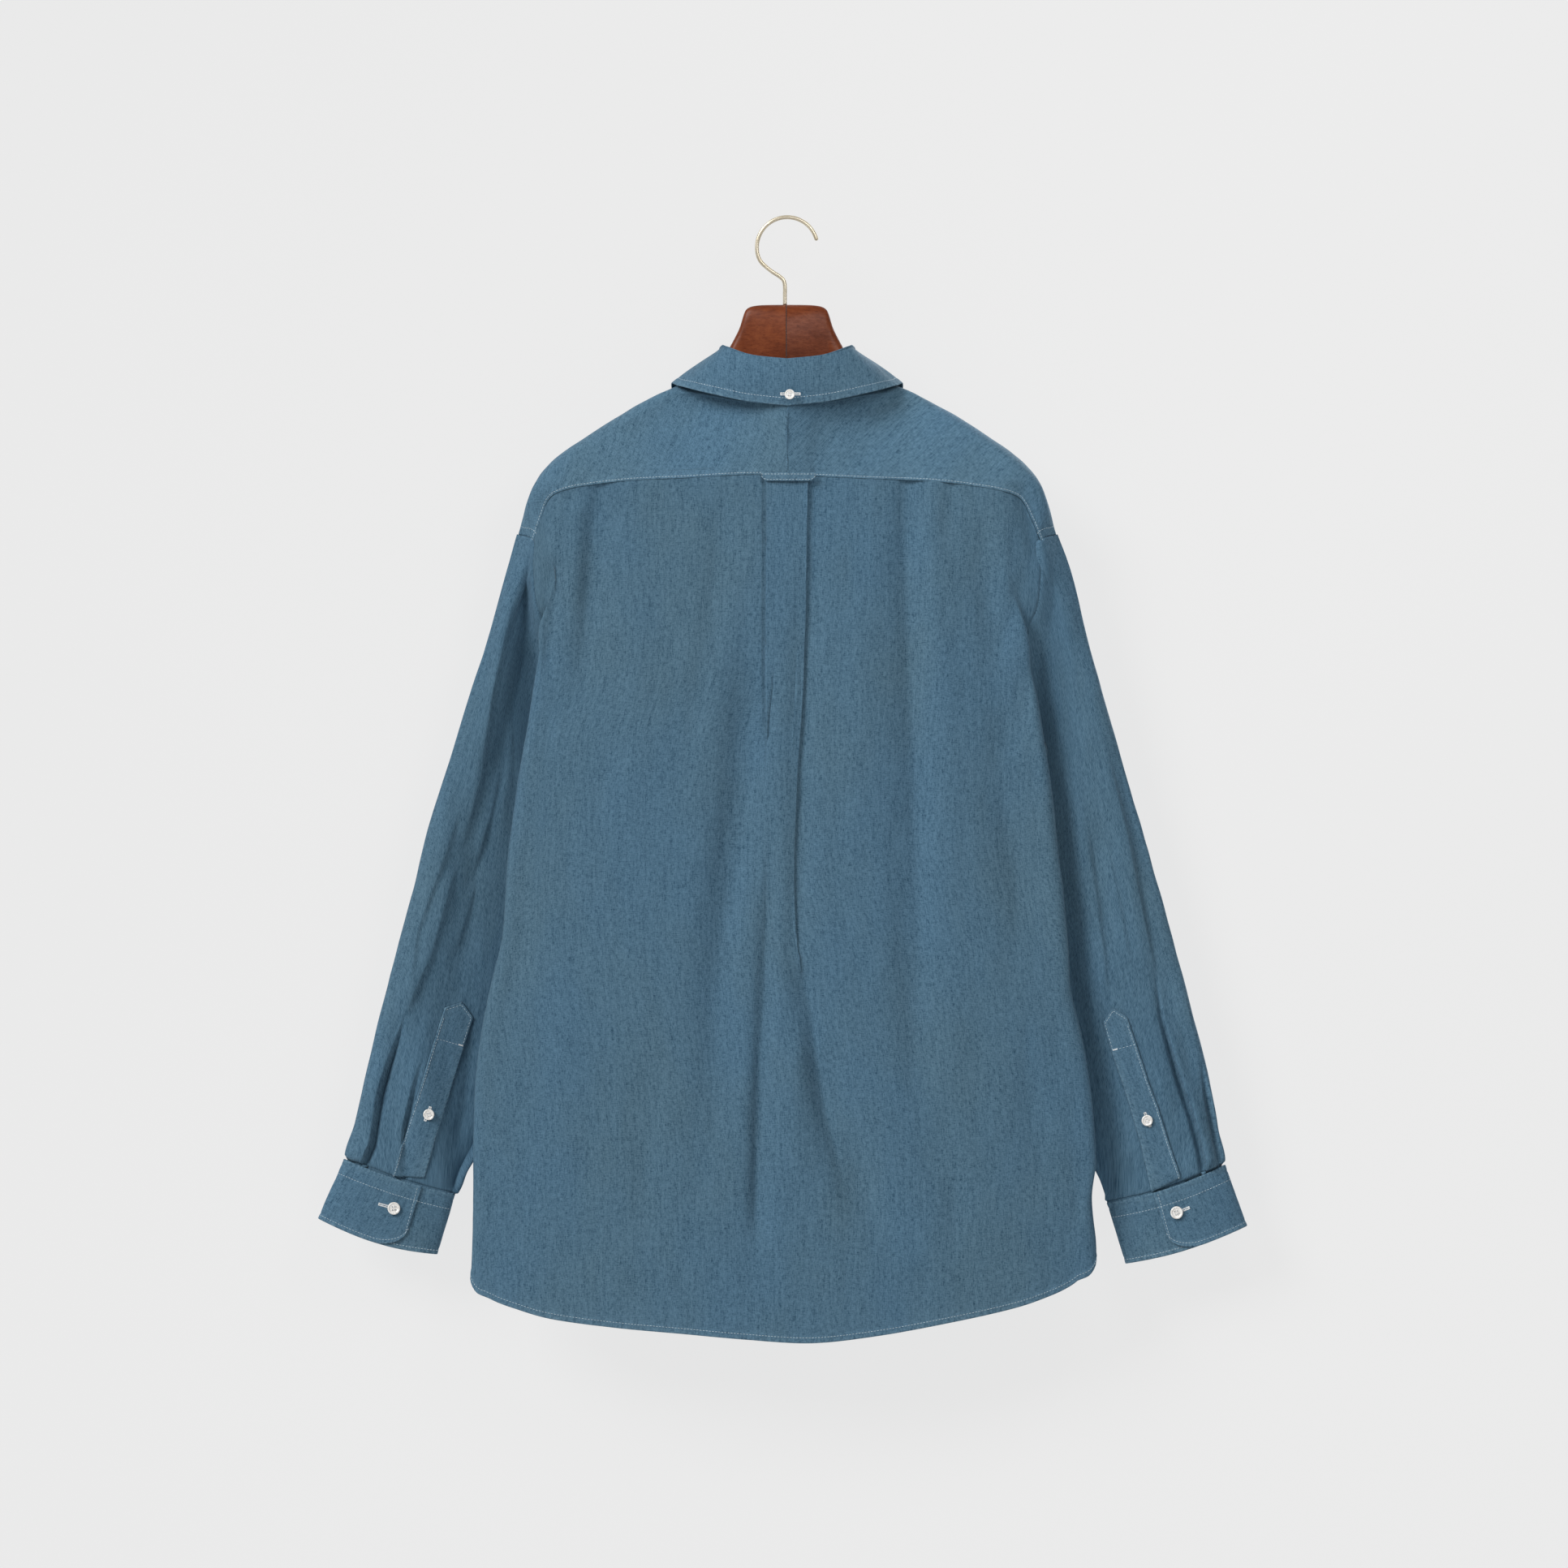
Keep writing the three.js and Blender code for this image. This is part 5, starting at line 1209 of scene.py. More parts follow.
def seen_on(tree, spots, facing=-1):
    """Where spots given across and up meet a surface seen from the back (-1) or front (+1)."""
    places, normals = [], []
    for x, z in spots:
        hit, normal = tree.ray_cast(Vector((x, facing * 400, z)), Vector((0, -facing, 0)))[:2]
        if hit is None:
            hit, normal = tree.find_nearest(Vector((x, facing * 30, z)))[:2]
        places.append(tuple(hit))
        normals.append(tuple(normal * (1 if normal.y * facing > 0 else -1)))
    return np.array(places), unit(np.array(normals))


# Sleeve plackets as pixel outlines: the left and right edge of each row, from the point down
TOWERS = {
    "left": [((567, 1236.6), (568, 1236.6)), ((547, 1243), (580.8, 1255)), ((535, 1280.8), (570, 1291)),
             ((520, 1331), (558, 1329)), ((508, 1368), (547, 1367)), ((495, 1409), (535, 1404)),
             ((482, 1450), (521, 1452))],
    "right": [((1373, 1243.8), (1372, 1243.8)), ((1389.4, 1254), (1360.8, 1261.6)),
              ((1401, 1287.7), (1371, 1296)), ((1416, 1334), (1383, 1330)), ((1428, 1366), (1394, 1364)),
              ((1441, 1408), (1408, 1412)), ((1456, 1452), (1421, 1470))],
}


def make_tower(side):
    sign = SIDES[side]
    tree = surface_of("sleeve_" + side + "_cloth")
    rows = np.array(TOWERS[side])
    counts = [6, 10, 22, 18, 20, 20]
    steps = [lerp(rows[k], rows[k + 1], t) for k, count in enumerate(counts)
             for t in np.linspace(0, 1, count, endpoint=k == len(counts) - 1)]
    lefts, rights = (pixels(np.array(steps)[:, edge]) for edge in (0, 1))
    across = finer_ends(14, (0.08, 3), (0.08, 3))
    spots = lerp(lefts[:, None], rights[:, None], across[None, :, None])
    grid = seen_on(tree, spots.reshape(-1, 2))[0].reshape(spots.shape[:2] + (3,))
    # The doubled strip bridges the sleeve's small relief
    for _ in range(6):
        grid[1:-1, :, 1] = (grid[:-2, :, 1] + 2 * grid[1:-1, :, 1] + grid[2:, :, 1]) / 4
        grid[:, 1:-1, 1] = (grid[:, :-2, 1] + 2 * grid[:, 1:-1, 1] + grid[:, 2:, 1]) / 4
    grid[..., 1] -= 1.75
    x, z = grid[..., 0], grid[..., 2]
    relief = 0.12 * unevenness(x, z, 6, 12, 61 + sign)
    cloth("sleeve_placket_" + side + "_cloth", grid, inward=-sign, relief=relief, hems="lr", hem=2.0,
          hem_rise=0.2, wear=0.9, thick=1.3)


# Collar

def stand_point(side, turn, up):
    foot = collar_point(side, turn, "foot")
    fold = collar_point(side, turn, "fold", -LEAF_ROLL - LAYER)
    fold[..., 2] -= LAYER
    lap = smooth(0.86, 1, turn)
    point = lerp(foot, fold, up)
    sign = SIDES[side]
    point[..., 0] -= sign * STAND_OVERLAP * lap
    ended = smooth(0.3, 1, lap)
    if sign < 0:
        # The left end lies over the right one and over the placket's top
        point[..., 2] += ended * lerp(-2.5, STAND_OVERLAP * 0.5, up)
        point[..., 1] += LAYER * lap * 1.4 + 4.2 * (1 - up) * smooth(0.5, 1, lap)
    else:
        point[..., 2] += STAND_OVERLAP * 0.5 * ended
    return point


def both_sides(function, around):
    """A grid whose columns run from the right side's end, round the back, to the left side's."""
    columns = [function("right" if share < 0 else "left", abs(share)) for share in around]
    return np.stack(columns, 1)


def make_stand():
    around = np.linspace(-1, 1, 161)
    ups = np.linspace(0, 1, 15)
    grid = both_sides(lambda side, turn: np.stack([stand_point(side, turn, up) for up in ups]), around)
    relief = 0.12 * unevenness(around[None] * 200, ups[:, None] * 30, 12, 9, 71) * np.ones((15, 161))
    cloth("collar_stand_cloth", grid, relief=relief, hems="bt", hem=2.0, hem_rise=0.1)


LEAF_CREASES = [
    ([(1000, 452), (1022, 462), (1052, 478)], 6, 0.9, (0.3, 0.4), 1.2),
    ([(1010, 470), (1036, 480), (1064, 486)], 5, -0.7, (0.3, 0.4), 1.0),
    ([(898, 446), (884, 458), (868, 474)], 6, 0.7, (0.3, 0.4), 1.0),
    ([(938, 446), (934, 466), (936, 486)], 8, -0.5, (0.3, 0.4), 1.0),
    ([(1086, 446), (1092, 458), (1100, 470)], 4, 0.6, (0.3, 0.4), 1.0),
]


def leaf_column(side, turn):
    fold = collar_point(side, turn, "fold")
    inside = collar_point(side, turn, "fold", -LEAF_ROLL)
    edge = collar_point(side, turn, "edge")
    dip = 5.2 * math.exp(-((turn - 0.57) / 0.055) ** 2) + 1.8 * math.exp(-((turn - 0.49) / 0.05) ** 2)
    fold[2] -= dip
    inside[2] -= dip
    line = [inside + (0, 0, -1), lerp(inside, fold, 0.5) + (0, 0, 1)]
    for down in (0, 1 / 3, 2 / 3, 1):
        point = lerp(fold, edge, down)
        puff = math.sin(math.pi * down) * 2.5
        point[:2] += fold[:2] / np.hypot(fold[0], fold[1]) * puff
        line.append(point)
    share = np.concatenate([np.linspace(0, 0.45, 14)[:-1], np.linspace(0.45, 0.95, 22),
                            np.linspace(0.95, 1, 7)[1:]])
    return on_line(np.array(line), share)


def make_leaf():
    around = finer_ends(190, (0.01, 5), (0.01, 5)) * 2 - 1
    grid = both_sides(leaf_column, around)
    x, z = grid[..., 0], grid[..., 2]
    relief = creases(x, z, LEAF_CREASES) * (grid[..., 1] < -8)
    along = around[None] * 260
    relief += 0.3 * unevenness(along, z, 26, 18, 81) + 0.14 * unevenness(along, z, 8, 9, 82)
    far = np.linspace(0, 1, grid.shape[0])[:, None]
    relief *= smooth(0.25, 0.5, far) * np.ones_like(x)
    cloth("collar_leaf_cloth", grid, inward=-1, relief=relief, hems="blr", hem=6.0, hem_rise=0.35, thick=1.1,
          wear=1.0)


def make_loop():
    """The flat loop sewn into the yoke seam over the pleat."""
    share = np.linspace(0, 1, 57)
    x = lerp(-LOOP_HALF, LOOP_HALF, share) + 1
    ends = smooth(0, 0.12, share) * (1 - smooth(0.88, 1, share))
    lift = LAYER + PLEAT_RISE + 0.7 + 1.5 * np.sin(math.pi * share) * ends
    y = back_y(x, np.full_like(x, -228.5)) - lift
    slant = 2.4 * (1 - smooth(0, 0.07, share)) + 2.4 * smooth(0.93, 1, share)
    grid = np.stack([vec(x, y - 0.35 * (1 - up ** 2), -223.4 + 3.5 * up + (slant if up < 0 else 0) * abs(up))
                     for up in np.linspace(1, -1, 11)])
    relief = 0.08 * unevenness(grid[..., 0], grid[..., 2], 5, 4, 91)
    cloth("locker_loop_cloth", grid, relief=relief, hems="tb", hem=1.2, hem_rise=0.1, wear=0.9)


make_back()
for each in SIDES:
    make_yoke(each)
    make_front(each)
    make_sleeve(each)
    make_cuff(each)
    make_tower(each)
make_front_placket()
make_stand()
make_leaf()
make_loop()


# Hanger and hook

def superellipse(angle, power):
    c, s = np.cos(angle), np.sin(angle)
    return np.sign(s) * np.abs(s) ** power, np.sign(c) * np.abs(c) ** power


def make_hanger(side):
    sign = SIDES[side]
    reach = np.concatenate([[0.02, 0.3, 0.7, 1.3], np.linspace(2.5, 30, 15), np.linspace(30, 60, 28)[1:],
                            np.linspace(60, 190, 50)[1:], np.linspace(190, 206, 14)[1:]])
    angle = (np.arange(56) / 56 * FULL_TURN)[None]
    squareness = lerp(0.72, 1.0, smooth(44, 64, reach))[:, None]
    across, up = superellipse(angle, squareness)
    top, foot = (read(WOOD, "reach", key, reach)[:, None] for key in ("top", "foot"))
    # The two faces meet in a low ridge, with a fine joint line between the halves
    reach = reach[:, None]
    depth = read(WOOD, "reach", "depth", reach) + 5.0 * np.maximum(0, 1 - reach / 36)
    depth -= 0.15 * np.exp(-reach / 0.35)
    # The arms run a little slimmer than the solids
    depth = depth * lerp(1.0, 0.96, smooth(60, 80, reach))
    middle, half = (top + foot) / 2, (top - foot) / 2 * lerp(1.0, 0.97, smooth(60, 80, reach))
    grid = vec(sign * reach * np.ones_like(angle), depth * across, middle + half * up)
    grid[..., 0] += JOINT_X * (1 - smooth(60, 90, reach))
    rows, columns = grid.shape[:2]
    first, last = end_faces(rows, columns)
    faces = np.concatenate([squares(rows, columns, columns), first[:, ::-1], last])
    if sign > 0:
        faces = faces[:, ::-1]
    mesh = mesh_of("hanger_" + side + "_wood", grid.reshape(-1, 3), faces)
    mesh.set_sharp_from_angle(angle=math.radians(45))
    return link_object("hanger_" + side + "_wood", mesh, STAINED_WOOD)


def tube(name, line, radius, sides, material):
    """A round wire along a line of points, with a dome at its start."""
    tangent = unit(np.gradient(line, axis=0))
    level = np.array([0.0, 1.0, 0.0])
    one = unit(np.cross(tangent, level))
    two = np.cross(tangent, one)
    angle = np.arange(sides) / sides * FULL_TURN
    dome = np.linspace(0, math.pi / 2, 7)[:0:-1]
    start = line[0] - tangent[0] * radius * np.sin(dome)[:, None]
    spots = np.concatenate([start, line])
    radii = np.concatenate([radius * np.cos(dome) + 0.01, np.full(len(line), radius)])
    one, two = (np.concatenate([np.repeat(way[:1], len(dome), 0), way]) for way in (one, two))
    ring = one[:, None] * np.cos(angle)[None, :, None] + two[:, None] * np.sin(angle)[None, :, None]
    grid = spots[:, None] + ring * radii[:, None, None]
    first, last = end_faces(len(spots), sides)
    faces = np.concatenate([squares(len(spots), sides, sides)[:, [0, 3, 2, 1]], first, last[:, ::-1]])
    return link_object(name, mesh_of(name, grid.reshape(-1, 3), faces), material)


def make_hook():
    wire, radius = 1.75, 26.25
    centre_z = wire - radius
    turns = np.radians(np.linspace(17, 200, 18))
    ring = vec(radius * np.cos(turns), 0, centre_z + radius * np.sin(turns))
    tail = np.array([(-22.4, 0, -37.2), (-19.2, 0, -40.5), (-13, 0, -45.4), (-6.8, 0, -49.4),
                     (-3.2, 0, -52.9), (-2, 0, -58), (-2, 0, -66), (-2, 0, -74)])
    line = on_line(np.concatenate([ring, tail]), np.linspace(0, 1, 190))
    return tube("hook_wire", line, wire, 20, BRASS)


hanger = {each: make_hanger(each) for each in SIDES}
hook = make_hook()


# Buttons

def finished_mesh(piece):
    """The mesh that a piece's modifiers make."""
    bpy.context.view_layer.update()
    return bpy.data.meshes.new_from_object(piece.evaluated_get(bpy.context.evaluated_depsgraph_get()))


HOLE_FROM_MIDDLE = 1.15     # in the ten units of a button's width
HOLE_RADIUS = 0.62
FACE_HEIGHT = 1.6
BUTTON_RISE = 1.05          # how much taller than its drawing a button stands


def button_shape():
    """A four-hole button, ten units wide, lying face up with its underside at zero."""
    profile = [(0, 0), (3.0, 0), (4.2, 0.12), (4.85, 0.6), (5.0, 1.15), (4.9, 1.75), (4.55, 2.1), (4.1, 2.16),
               (3.7, 2.0), (3.35, 1.72), (2.9, FACE_HEIGHT), (1.5, FACE_HEIGHT), (0, FACE_HEIGHT)]
    sides = 40
    angles = [k / sides * FULL_TURN for k in range(sides)]
    points = [(r * math.cos(a), r * math.sin(a), h) for r, h in profile for a in angles]
    mesh = bpy.data.meshes.new("button shape")
    mesh.from_pydata(points, [], squares(len(profile), sides, sides).tolist())
    work = bmesh.new()
    work.from_mesh(mesh)
    bmesh.ops.remove_doubles(work, verts=work.verts, dist=1e-4)
    bmesh.ops.recalc_face_normals(work, faces=work.faces)
    work.to_mesh(mesh)
    work.free()
    cutter_mesh = bpy.data.meshes.new("holes")
    work = bmesh.new()
    for x in (-HOLE_FROM_MIDDLE, HOLE_FROM_MIDDLE):
        for y in (-HOLE_FROM_MIDDLE, HOLE_FROM_MIDDLE):
            made = bmesh.ops.create_cone(work, cap_ends=True, segments=14, radius1=HOLE_RADIUS,
                                         radius2=HOLE_RADIUS, depth=8)
            bmesh.ops.translate(work, verts=made["verts"], vec=(x, y, 0))
    work.to_mesh(cutter_mesh)
    work.free()
    body, cutter = place_object("button shape", mesh), place_object("holes", cutter_mesh)
    modifier = body.modifiers.new("holes", "BOOLEAN")
    modifier.object = cutter
    modifier.operation = "DIFFERENCE"
    modifier.solver = "EXACT"
    shape = finished_mesh(body)
    for made in (body, cutter):
        bpy.data.objects.remove(made)
    return shape


def button_lie(name):
    """The underside's middle, the way it faces, and its width, from the solid it stands for."""
    points = corners_of(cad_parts[name].data) / MM
    normal = np.linalg.svd(points - points.mean(0), full_matrices=False)[2][2]
    facing = -1 if name.startswith(("button_cuff", "button_sleeve", "button_collar")) else 1
    if normal[1] * facing < 0:
        normal = -normal
    heights = points @ normal
    radial = points - np.outer(heights, normal)
    width = 2 * np.linalg.norm(radial - radial.mean(0), axis=1).max()
    return radial.mean(0) + normal * heights.min(), normal, width


THREAD_RUNS = []   # the ends of single threads, and the way their button faces


def make_button(name, shape, tilt, over):
    base, normal, width = button_lie(name)
    hit = surface_of(over).ray_cast(Vector(base + normal * 30), Vector(-normal))[0]
    if hit is not None and abs((np.array(hit) - base) @ normal) < 3.5:
        base = base + normal * (((np.array(hit) - base) @ normal) + 0.35)
    normal = unit(normal)
    across = unit(np.array([1.0, 0, 0]) - normal * normal[0])
    up = np.cross(normal, across)
    c, s = math.cos(tilt), math.sin(tilt)
    across, up = across * c + up * s, up * c - across * s
    size = width / 10
    mesh = shape.copy()
    co = corners_of(mesh)
    placed = base + size * (co[:, :1] * across + co[:, 1:2] * up) + co[:, 2:] * normal * size * BUTTON_RISE
    mesh.vertices.foreach_set("co", (placed * MM).astype(np.float32).ravel())
    mesh.update()
    mesh.shade_smooth()
    mesh.set_sharp_from_angle(angle=math.radians(42))
    piece = link_object(name + "_pearl", mesh, PEARL)
    face = base + normal * size * FACE_HEIGHT * BUTTON_RISE
    half = across * size * 3.1 / 2
    for way in (-1, 1):
        for shift in (-0.25, 0, 0.25):
            middle = face + size * (way * HOLE_FROM_MIDDLE + shift) * up + normal * 0.12
            THREAD_RUNS.append(([middle - half, middle + half], [normal, normal]))
    return piece, base


FRONT_BUTTONS = [f"button_front_{k}" for k in range(1, 7)]
BUTTON_OVER = {
    "button_cuff_left": "cuff_left_cloth", "button_cuff_right": "cuff_right_cloth",
    "button_sleeve_left": "sleeve_placket_left_cloth", "button_sleeve_right": "sleeve_placket_right_cloth",
    "button_collar_back": "collar_leaf_cloth", "button_point_left": "collar_leaf_cloth",
    "button_point_right": "collar_leaf_cloth", "button_stand": "collar_stand_cloth",
    **{each: "front_placket_cloth" for each in FRONT_BUTTONS},
}
BUTTON_SHAPE = button_shape()
spin = np.random.default_rng(7)
buttons = {}
for each, over in BUTTON_OVER.items():
    buttons[each] = make_button(each, BUTTON_SHAPE, spin.uniform(-0.5, 0.5), over)


# Sewing

STITCH_NODES = {
    "given": "NodeGroupInput", "result": "NodeGroupOutput", "curve": "GeometryNodeMeshToCurve",
    "spaced": "GeometryNodeResampleCurve", "tangent": "GeometryNodeInputTangent",
    "lie": "GeometryNodeInputNamedAttribute", "ball": "GeometryNodeMeshUVSphere",
    "size": "ShaderNodeCombineXYZ", "shaped": "GeometryNodeTransform",
    "upright": "FunctionNodeAlignRotationToVector", "along": "FunctionNodeAlignRotationToVector",
    "turn": "FunctionNodeAxisAngleToRotation", "turned": "FunctionNodeRotateRotation",
    "placed": "GeometryNodeInstanceOnPoints", "solid": "GeometryNodeRealizeInstances",
    "finish": "GeometryNodeSetMaterial",
}
STITCH_SETTINGS = [
    ("spaced", "mode", "LENGTH"), ("lie", "data_type", "FLOAT_VECTOR"), ("upright", "axis", "Z"),
    ("along", "axis", "X"), ("along", "pivot_axis", "Z"), ("turned", "rotation_space", "LOCAL"),
]
STITCH_VALUES = [
    ("lie", "Name", "lie"), ("ball", "Segments", 6), ("ball", "Rings", 4), ("ball", "Radius", 0.5),
]
STITCH_LINKS = [
    ("given", "Geometry", "curve", "Mesh"), ("curve", "Curve", "spaced", "Curve"),
    ("given", "Pitch", "spaced", "Length"), ("given", "Length", "size", "X"), ("given", "Width", "size", "Y"),
    ("given", "Height", "size", "Z"), ("ball", "Mesh", "shaped", "Geometry"),
    ("size", "Vector", "shaped", "Scale"), ("lie", "Attribute", "upright", "Vector"),
    ("upright", "Rotation", "along", "Rotation"), ("tangent", "Tangent", "along", "Vector"),
    ("given", "Turn", "turn", "Angle"), ("along", "Rotation", "turned", "Rotation"),
    ("turn", "Rotation", "turned", "Rotate By"), ("spaced", "Curve", "placed", "Points"),
    ("shaped", "Geometry", "placed", "Instance"), ("turned", "Rotation", "placed", "Rotation"),
    ("placed", "Instances", "solid", "Geometry"), ("solid", "Geometry", "finish", "Geometry"),
    ("given", "Thread", "finish", "Material"), ("finish", "Geometry", "result", "Geometry"),
]


def stitch_tree():
    """Stitches along every line of a mesh: a small rounded thread at each step."""
    tree = bpy.data.node_groups.new("stitches", "GeometryNodeTree")
    new_socket = lambda name, way, kind: tree.interface.new_socket(name, in_out=way, socket_type=kind)
    new_socket("Geometry", "INPUT", "NodeSocketGeometry")
    sockets = {name: new_socket(name, "INPUT", "NodeSocketFloat").identifier
               for name in ("Pitch", "Length", "Width", "Height", "Turn")}
    sockets["Thread"] = new_socket("Thread", "INPUT", "NodeSocketMaterial").identifier
    new_socket("Geometry", "OUTPUT", "NodeSocketGeometry")
    nodes = {key: tree.nodes.new(kind) for key, kind in STITCH_NODES.items()}
    for key, setting, value in STITCH_SETTINGS:
        setattr(nodes[key], setting, value)
    for key, name, value in STITCH_VALUES:
        nodes[key].inputs[name].default_value = value
    for source, output, target, name in STITCH_LINKS:
        tree.links.new(nodes[source].outputs[output], nodes[target].inputs[name])
    return tree, sockets


STITCHES, STITCH_SOCKETS = stitch_tree()


def sew(name, lines, thread, Turn=0.0, **sizes):
    """Sews along lines, each a run of places and the way the cloth faces there."""
    points, edges, lies = [], [], []
    for places, facing in lines:
        first = len(points)
        points += [tuple(p) for p in places]
        lies += [tuple(n) for n in facing]
        edges += [(first + k, first + k + 1) for k in range(len(places) - 1)]
    mesh = bpy.data.meshes.new(name)
    mesh.from_pydata([tuple(c * MM for c in p) for p in points], edges, [])
    attribute = mesh.attributes.new("lie", "FLOAT_VECTOR", "POINT")
    attribute.data.foreach_set("vector", np.array(lies, np.float32).ravel())
    piece = place_object(name, mesh)
    modifier = piece.modifiers.new("stitches", "NODES")
    modifier.node_group = STITCHES
    for key, value in sizes.items():
        modifier[STITCH_SOCKETS[key]] = value * MM
    modifier[STITCH_SOCKETS["Turn"]] = Turn
    modifier[STITCH_SOCKETS["Thread"]] = thread
    made = finished_mesh(piece)
    piece.modifiers.clear()
    piece.data = made
    if not made.materials:
        made.materials.append(thread)
    made.shade_smooth()
    return piece


def at_grid(name, row, column):
    """Places and facings at fractions of a finished cloth's rows and columns."""
    sheet = SHEETS[name]
    outer, out = sheet["outer"], sheet["out"]
    if sheet["closed"]:
        outer, out = (np.concatenate([a, a[:, :1]], 1) for a in (outer, out))
    rows, columns = outer.shape[:2]
    j, i = np.clip(row, 0, rows - 1.0001), np.clip(column, 0, columns - 1.0001)
    j0, i0 = j.astype(int), i.astype(int)
    s, t = (j - j0)[..., None], (i - i0)[..., None]
    blend = lambda a: lerp(lerp(a[j0, i0], a[j0, i0 + 1], t), lerp(a[j0 + 1, i0], a[j0 + 1, i0 + 1], t), s)
    return blend(outer), unit(blend(out))


def inset(name, edge, distance, start=0.0, end=1.0):
    """A line a set distance in from one edge (top, bottom, left or right) of a finished cloth."""
    flat = SHEETS[name]["flat"]
    across = edge in "tb"
    measure = np.swapaxes(flat[..., 1], 0, 1) if across else flat[..., 0]
    measure = measure - measure[:, :1] if edge in "tl" else measure[:, -1:] - measure
    runs, steps = measure.shape
    along = np.linspace(start, end, runs) * (runs - 1)
    inward = []
    for k in np.clip(np.round(along).astype(int), 0, runs - 1):
        order = np.argsort(measure[k])
        inward.append(np.interp(distance, measure[k][order], np.arange(steps)[order]))
    inward = np.array(inward)
    return at_grid(name, inward, along) if across else at_grid(name, along, inward)


def drawn(name, picture_line, count=40):
    """A line given in picture pixels, laid on the cloth that shows there."""
    return seen_on(surface_of(name), on_line(pixels(picture_line), np.linspace(0, 1, count)))


def straight(name, picture_line, per=10):
    """The same with sharp corners kept."""
    spots = pixels(picture_line)
    parts = [lerp(spots[k], spots[k + 1], t) for k in range(len(spots) - 1)
             for t in np.linspace(0, 1, per, endpoint=False)]
    return seen_on(surface_of(name), np.array([*parts, spots[-1]]))


# Cloth, its edge, how far in from it in millimetres, and between which shares of it the stitches run
SEWN_EDGES = [
    ("yoke_left", "t", 1.6), ("yoke_right", "t", 1.6), ("back_panel", "b", 4.4),
    ("front_left", "b", 4.4, 0.0, 0.86), ("front_right", "b", 4.4), ("collar_leaf", "b", 6.3),
    ("collar_leaf", "l", 6.3, 0.35, 0.93),
    ("collar_leaf", "r", 6.3, 0.35, 0.93), ("collar_stand", "b", 1.6), ("collar_stand", "t", 2.0),
    ("front_placket", "l", 4.6), ("front_placket", "r", 4.6), ("yoke_left", "b", 1.8),
    ("yoke_right", "b", 1.8), ("yoke_left", "r", 7.5), ("yoke_right", "r", 7.5),
    ("front_left", "l", 7.5, 0.0, 0.33),
    ("front_right", "l", 7.5, 0.0, 0.33), ("locker_loop", "t", 1.2), ("locker_loop", "b", 1.2),
]
for each in SIDES:
    cuff, tower = "cuff_" + each, "sleeve_placket_" + each
    SEWN_EDGES += [(cuff, "t", 13.0), (cuff, "b", 3.2), (cuff, "r", 3.2, 0.1, 0.9),
                   (cuff, "l", 3.2, 0.1, 0.9),
                   (tower, "l", 1.5, 0.10, 1.0), (tower, "r", 1.5, 0.075, 0.165)]
LEFT_TOWER, RIGHT_TOWER = "sleeve_placket_left_cloth", "sleeve_placket_right_cloth"
topstitching = [inset(name if name == "back_panel" else name + "_cloth", *rest) for name, *rest in SEWN_EDGES]
topstitching += [
    straight(LEFT_TOWER, [(549.5, 1245), (566.8, 1239.2), (578, 1255.2)]),
    straight(RIGHT_TOWER, [(1387, 1255.5), (1372.8, 1246.5), (1363.5, 1261.5)]),
    straight(LEFT_TOWER, [(538, 1281.5), (568, 1290)]), straight(RIGHT_TOWER, [(1399, 1288.5), (1373, 1295)]),
    drawn("yoke_left_cloth", [(861, 473), (875, 481), (899, 489), (917, 490)]),
]
seams = sew("topstitching", topstitching, BLUE_WHITE_THREAD, Pitch=2.7, Length=2.2, Width=0.42, Height=0.34)

bars = [straight(LEFT_TOWER, [(563.5, 1288.4), (568.5, 1290)], 6),
        straight(RIGHT_TOWER, [(1373, 1295), (1378, 1293.6)], 6)]
tacks = sew("bar_tacks", bars, WHITE_THREAD, Pitch=0.34, Length=1.5, Width=0.42, Height=0.5, Turn=math.pi / 2)


def buttonhole(over, centre, way, length, facing=-1):
    """The two worked sides and ends of a buttonhole, on the cloth, in millimetres."""
    tree = surface_of(over)
    centre, way = np.array(centre, float), unit(np.array(way, float))
    side = np.array([-way[1], way[0]])
    runs = [[centre + way * t + side * s for t in np.linspace(-length / 2, length / 2, 14)]
            for s in (-0.75, 0.75)]
    runs += [[centre + way * end * length / 2 + side * t for t in np.linspace(-1.0, 1.0, 5)]
             for end in (-1, 1)]
    return [seen_on(tree, spots, facing) for spots in runs]


def button_spot(name, shift=0):
    """Across and up, where a button sits."""
    base = buttons[name][1]
    return base[0] + shift, base[2]


# Cloth, middle, the way it runs, length, and the side it is seen from
HOLES = [
    ("collar_leaf_cloth", pixels([(974, 485.5)])[0], (1, 0), 16.5, -1),
    ("cuff_left_cloth", pixels([(474.5, 1488)])[0], (18, -5), 13.5, -1),
    ("cuff_right_cloth", pixels([(1458, 1493.5)])[0], (15, 6), 13.5, -1),
    (LEFT_TOWER, pixels([(525.5, 1374)])[0], (-7, -18), 12.5, -1),
    (RIGHT_TOWER, pixels([(1415.5, 1381)])[0], (7, -18), 12.5, -1),
    *(("front_placket_cloth", button_spot(each), (0, 1), 13, 1) for each in FRONT_BUTTONS),
    ("collar_stand_cloth", button_spot("button_stand", -1), (1, 0.1), 12.5, 1),
    *(("collar_leaf_cloth", button_spot(f"button_point_{side}"), (-0.5 * sign, 1), 11, 1)
      for side, sign in SIDES.items()),
]
worked = sew("buttonholes", [run for hole in HOLES for run in buttonhole(*hole)], WHITE_THREAD, Pitch=0.36,
             Length=1.4, Width=0.42, Height=0.45, Turn=math.pi / 2)
threads = sew("button_threads", THREAD_RUNS, WHITE_THREAD, Pitch=1.0, Length=1.15, Width=0.36, Height=0.36)
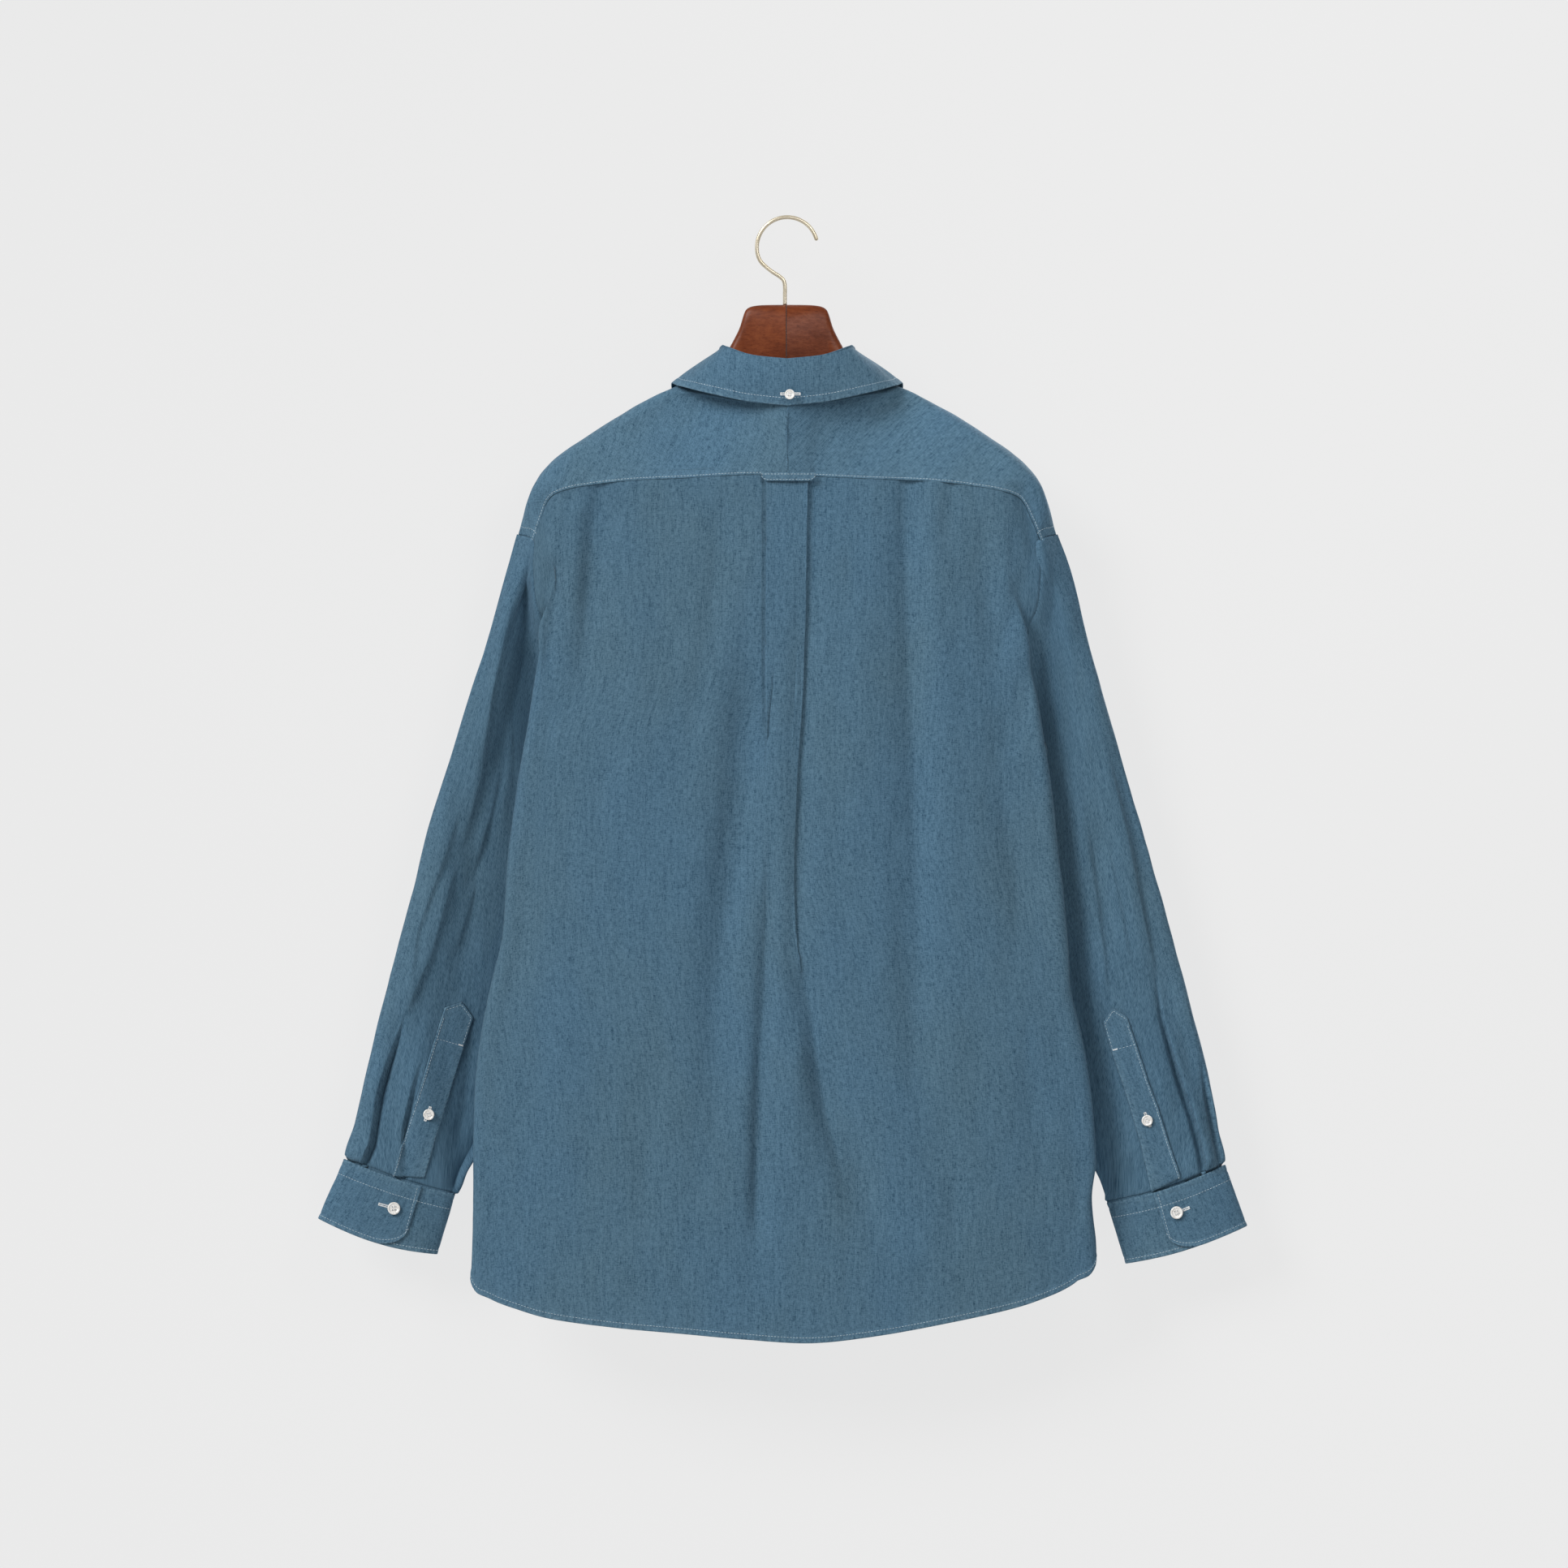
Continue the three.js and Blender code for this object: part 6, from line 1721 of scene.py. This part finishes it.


# Riding, and standing for the solids

REPLACED = {
    "back_panel": "back", "collar_stand_cloth": "collar_stand", "collar_leaf_cloth": "collar_leaf",
    "front_placket_cloth": "front_placket", "locker_loop_cloth": "locker_loop",
}
for each in SIDES:
    for part in ("yoke", "front", "sleeve", "cuff", "sleeve_placket"):
        REPLACED[part + "_" + each + "_cloth"] = part + "_" + each
for name, solid in REPLACED.items():
    piece = SHEETS[name]["piece"]
    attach(piece, "root")
    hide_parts(solid)
for each, piece in hanger.items():
    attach(piece, "root")
    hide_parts("hanger_" + each)
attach(hook, "root")
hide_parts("hook")
for each, (piece, _) in buttons.items():
    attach(piece, "root")
    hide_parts(each)
for piece in (seams, tacks, worked, threads):
    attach(piece, "root")


# Stage and light

def backdrop_material():
    """Pale and shining, seen from its front only, and casting no shadow."""
    material, tree, shader = new_material("pale backdrop")
    tone = ramp(tree, noise(tree, object_place(tree), (1, 1, 1), 2.0, 2.0), (0.3, 0.068), (0.7, 0.072))
    feed(tree, shader, {"Base Color": tone, "Emission Color": (1, 1, 1), "Emission Strength": 0.752,
                        "Roughness": 1.0, "Specular IOR Level": 0.0})
    backfacing = tree.nodes.new("ShaderNodeNewGeometry").outputs["Backfacing"]
    shadow = tree.nodes.new("ShaderNodeLightPath").outputs["Is Shadow Ray"]
    clear = tree.nodes.new("ShaderNodeBsdfTransparent")
    mixed = node(tree, "ShaderNodeMixShader", {0: sums(tree, "MAXIMUM", backfacing, shadow),
                                               1: shader.outputs["BSDF"], 2: clear.outputs["BSDF"]})
    tree.links.new(mixed.outputs["Shader"], tree.nodes["Material Output"].inputs["Surface"])
    return material


def plate(name, corners, material):
    mesh = bpy.data.meshes.new(name)
    mesh.from_pydata(corners, [], [(0, 1, 2, 3)])
    made = link_object(name, mesh, material)
    made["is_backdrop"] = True


PALE = backdrop_material()
WALL_Y = 0.062
FLOOR_Z = -1.6
WIDE = 3
plate("backdrop", [(-WIDE, WALL_Y, FLOOR_Z), (WIDE, WALL_Y, FLOOR_Z), (WIDE, WALL_Y, -FLOOR_Z),
                   (-WIDE, WALL_Y, -FLOOR_Z)], PALE)
plate("floor", [(-WIDE, -WIDE, FLOOR_Z), (WIDE, -WIDE, FLOOR_Z), (WIDE, WIDE, FLOOR_Z),
                (-WIDE, WIDE, FLOOR_Z)], PALE)


def lamp(name, kind, place, target, energy, **settings):
    """A light aimed at a height, in metres, on the shirt's middle line."""
    data = bpy.data.lights.new(name, kind)
    data.energy = energy
    for key, value in settings.items():
        setattr(data, key, value)
    made = place_object(name, data, place)
    made.rotation_euler = (Vector((0, 0, target)) - Vector(place)).to_track_quat("-Z", "Y").to_euler()


def light_scene():
    world = bpy.data.worlds.new("studio")
    bpy.context.scene.world = world
    world.use_nodes = True
    sky = world.node_tree.nodes["Background"]
    sky.inputs["Color"].default_value = (1, 1, 1, 1)
    sky.inputs["Strength"].default_value = 0.2
    # Even light from far off, with soft-edged shadows
    lamp("key", "SUN", (-2.75, -2.5, 1.9), -0.5, 2.85, angle=math.radians(26))
    lamp("fill", "SUN", (2.4, -3.0, 0.6), -0.5, 0.12, angle=math.radians(60))
    lamp("behind", "SUN", (1.6, 3.0, 1.0), -0.5, 2.6, angle=math.radians(40))
    # A broad lamp over the shoulders, so the shirt darkens a little toward its hem
    lamp("over the shoulders", "AREA", (0.42, -0.95, 0.3), -0.35, 5.0, size=0.5)
    view = bpy.context.scene.view_settings
    view.view_transform = "Standard"
    view.look = "None"


light_scene()

size = [[list(map(float, corner)) for corner in box] for box in (cad_box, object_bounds())]
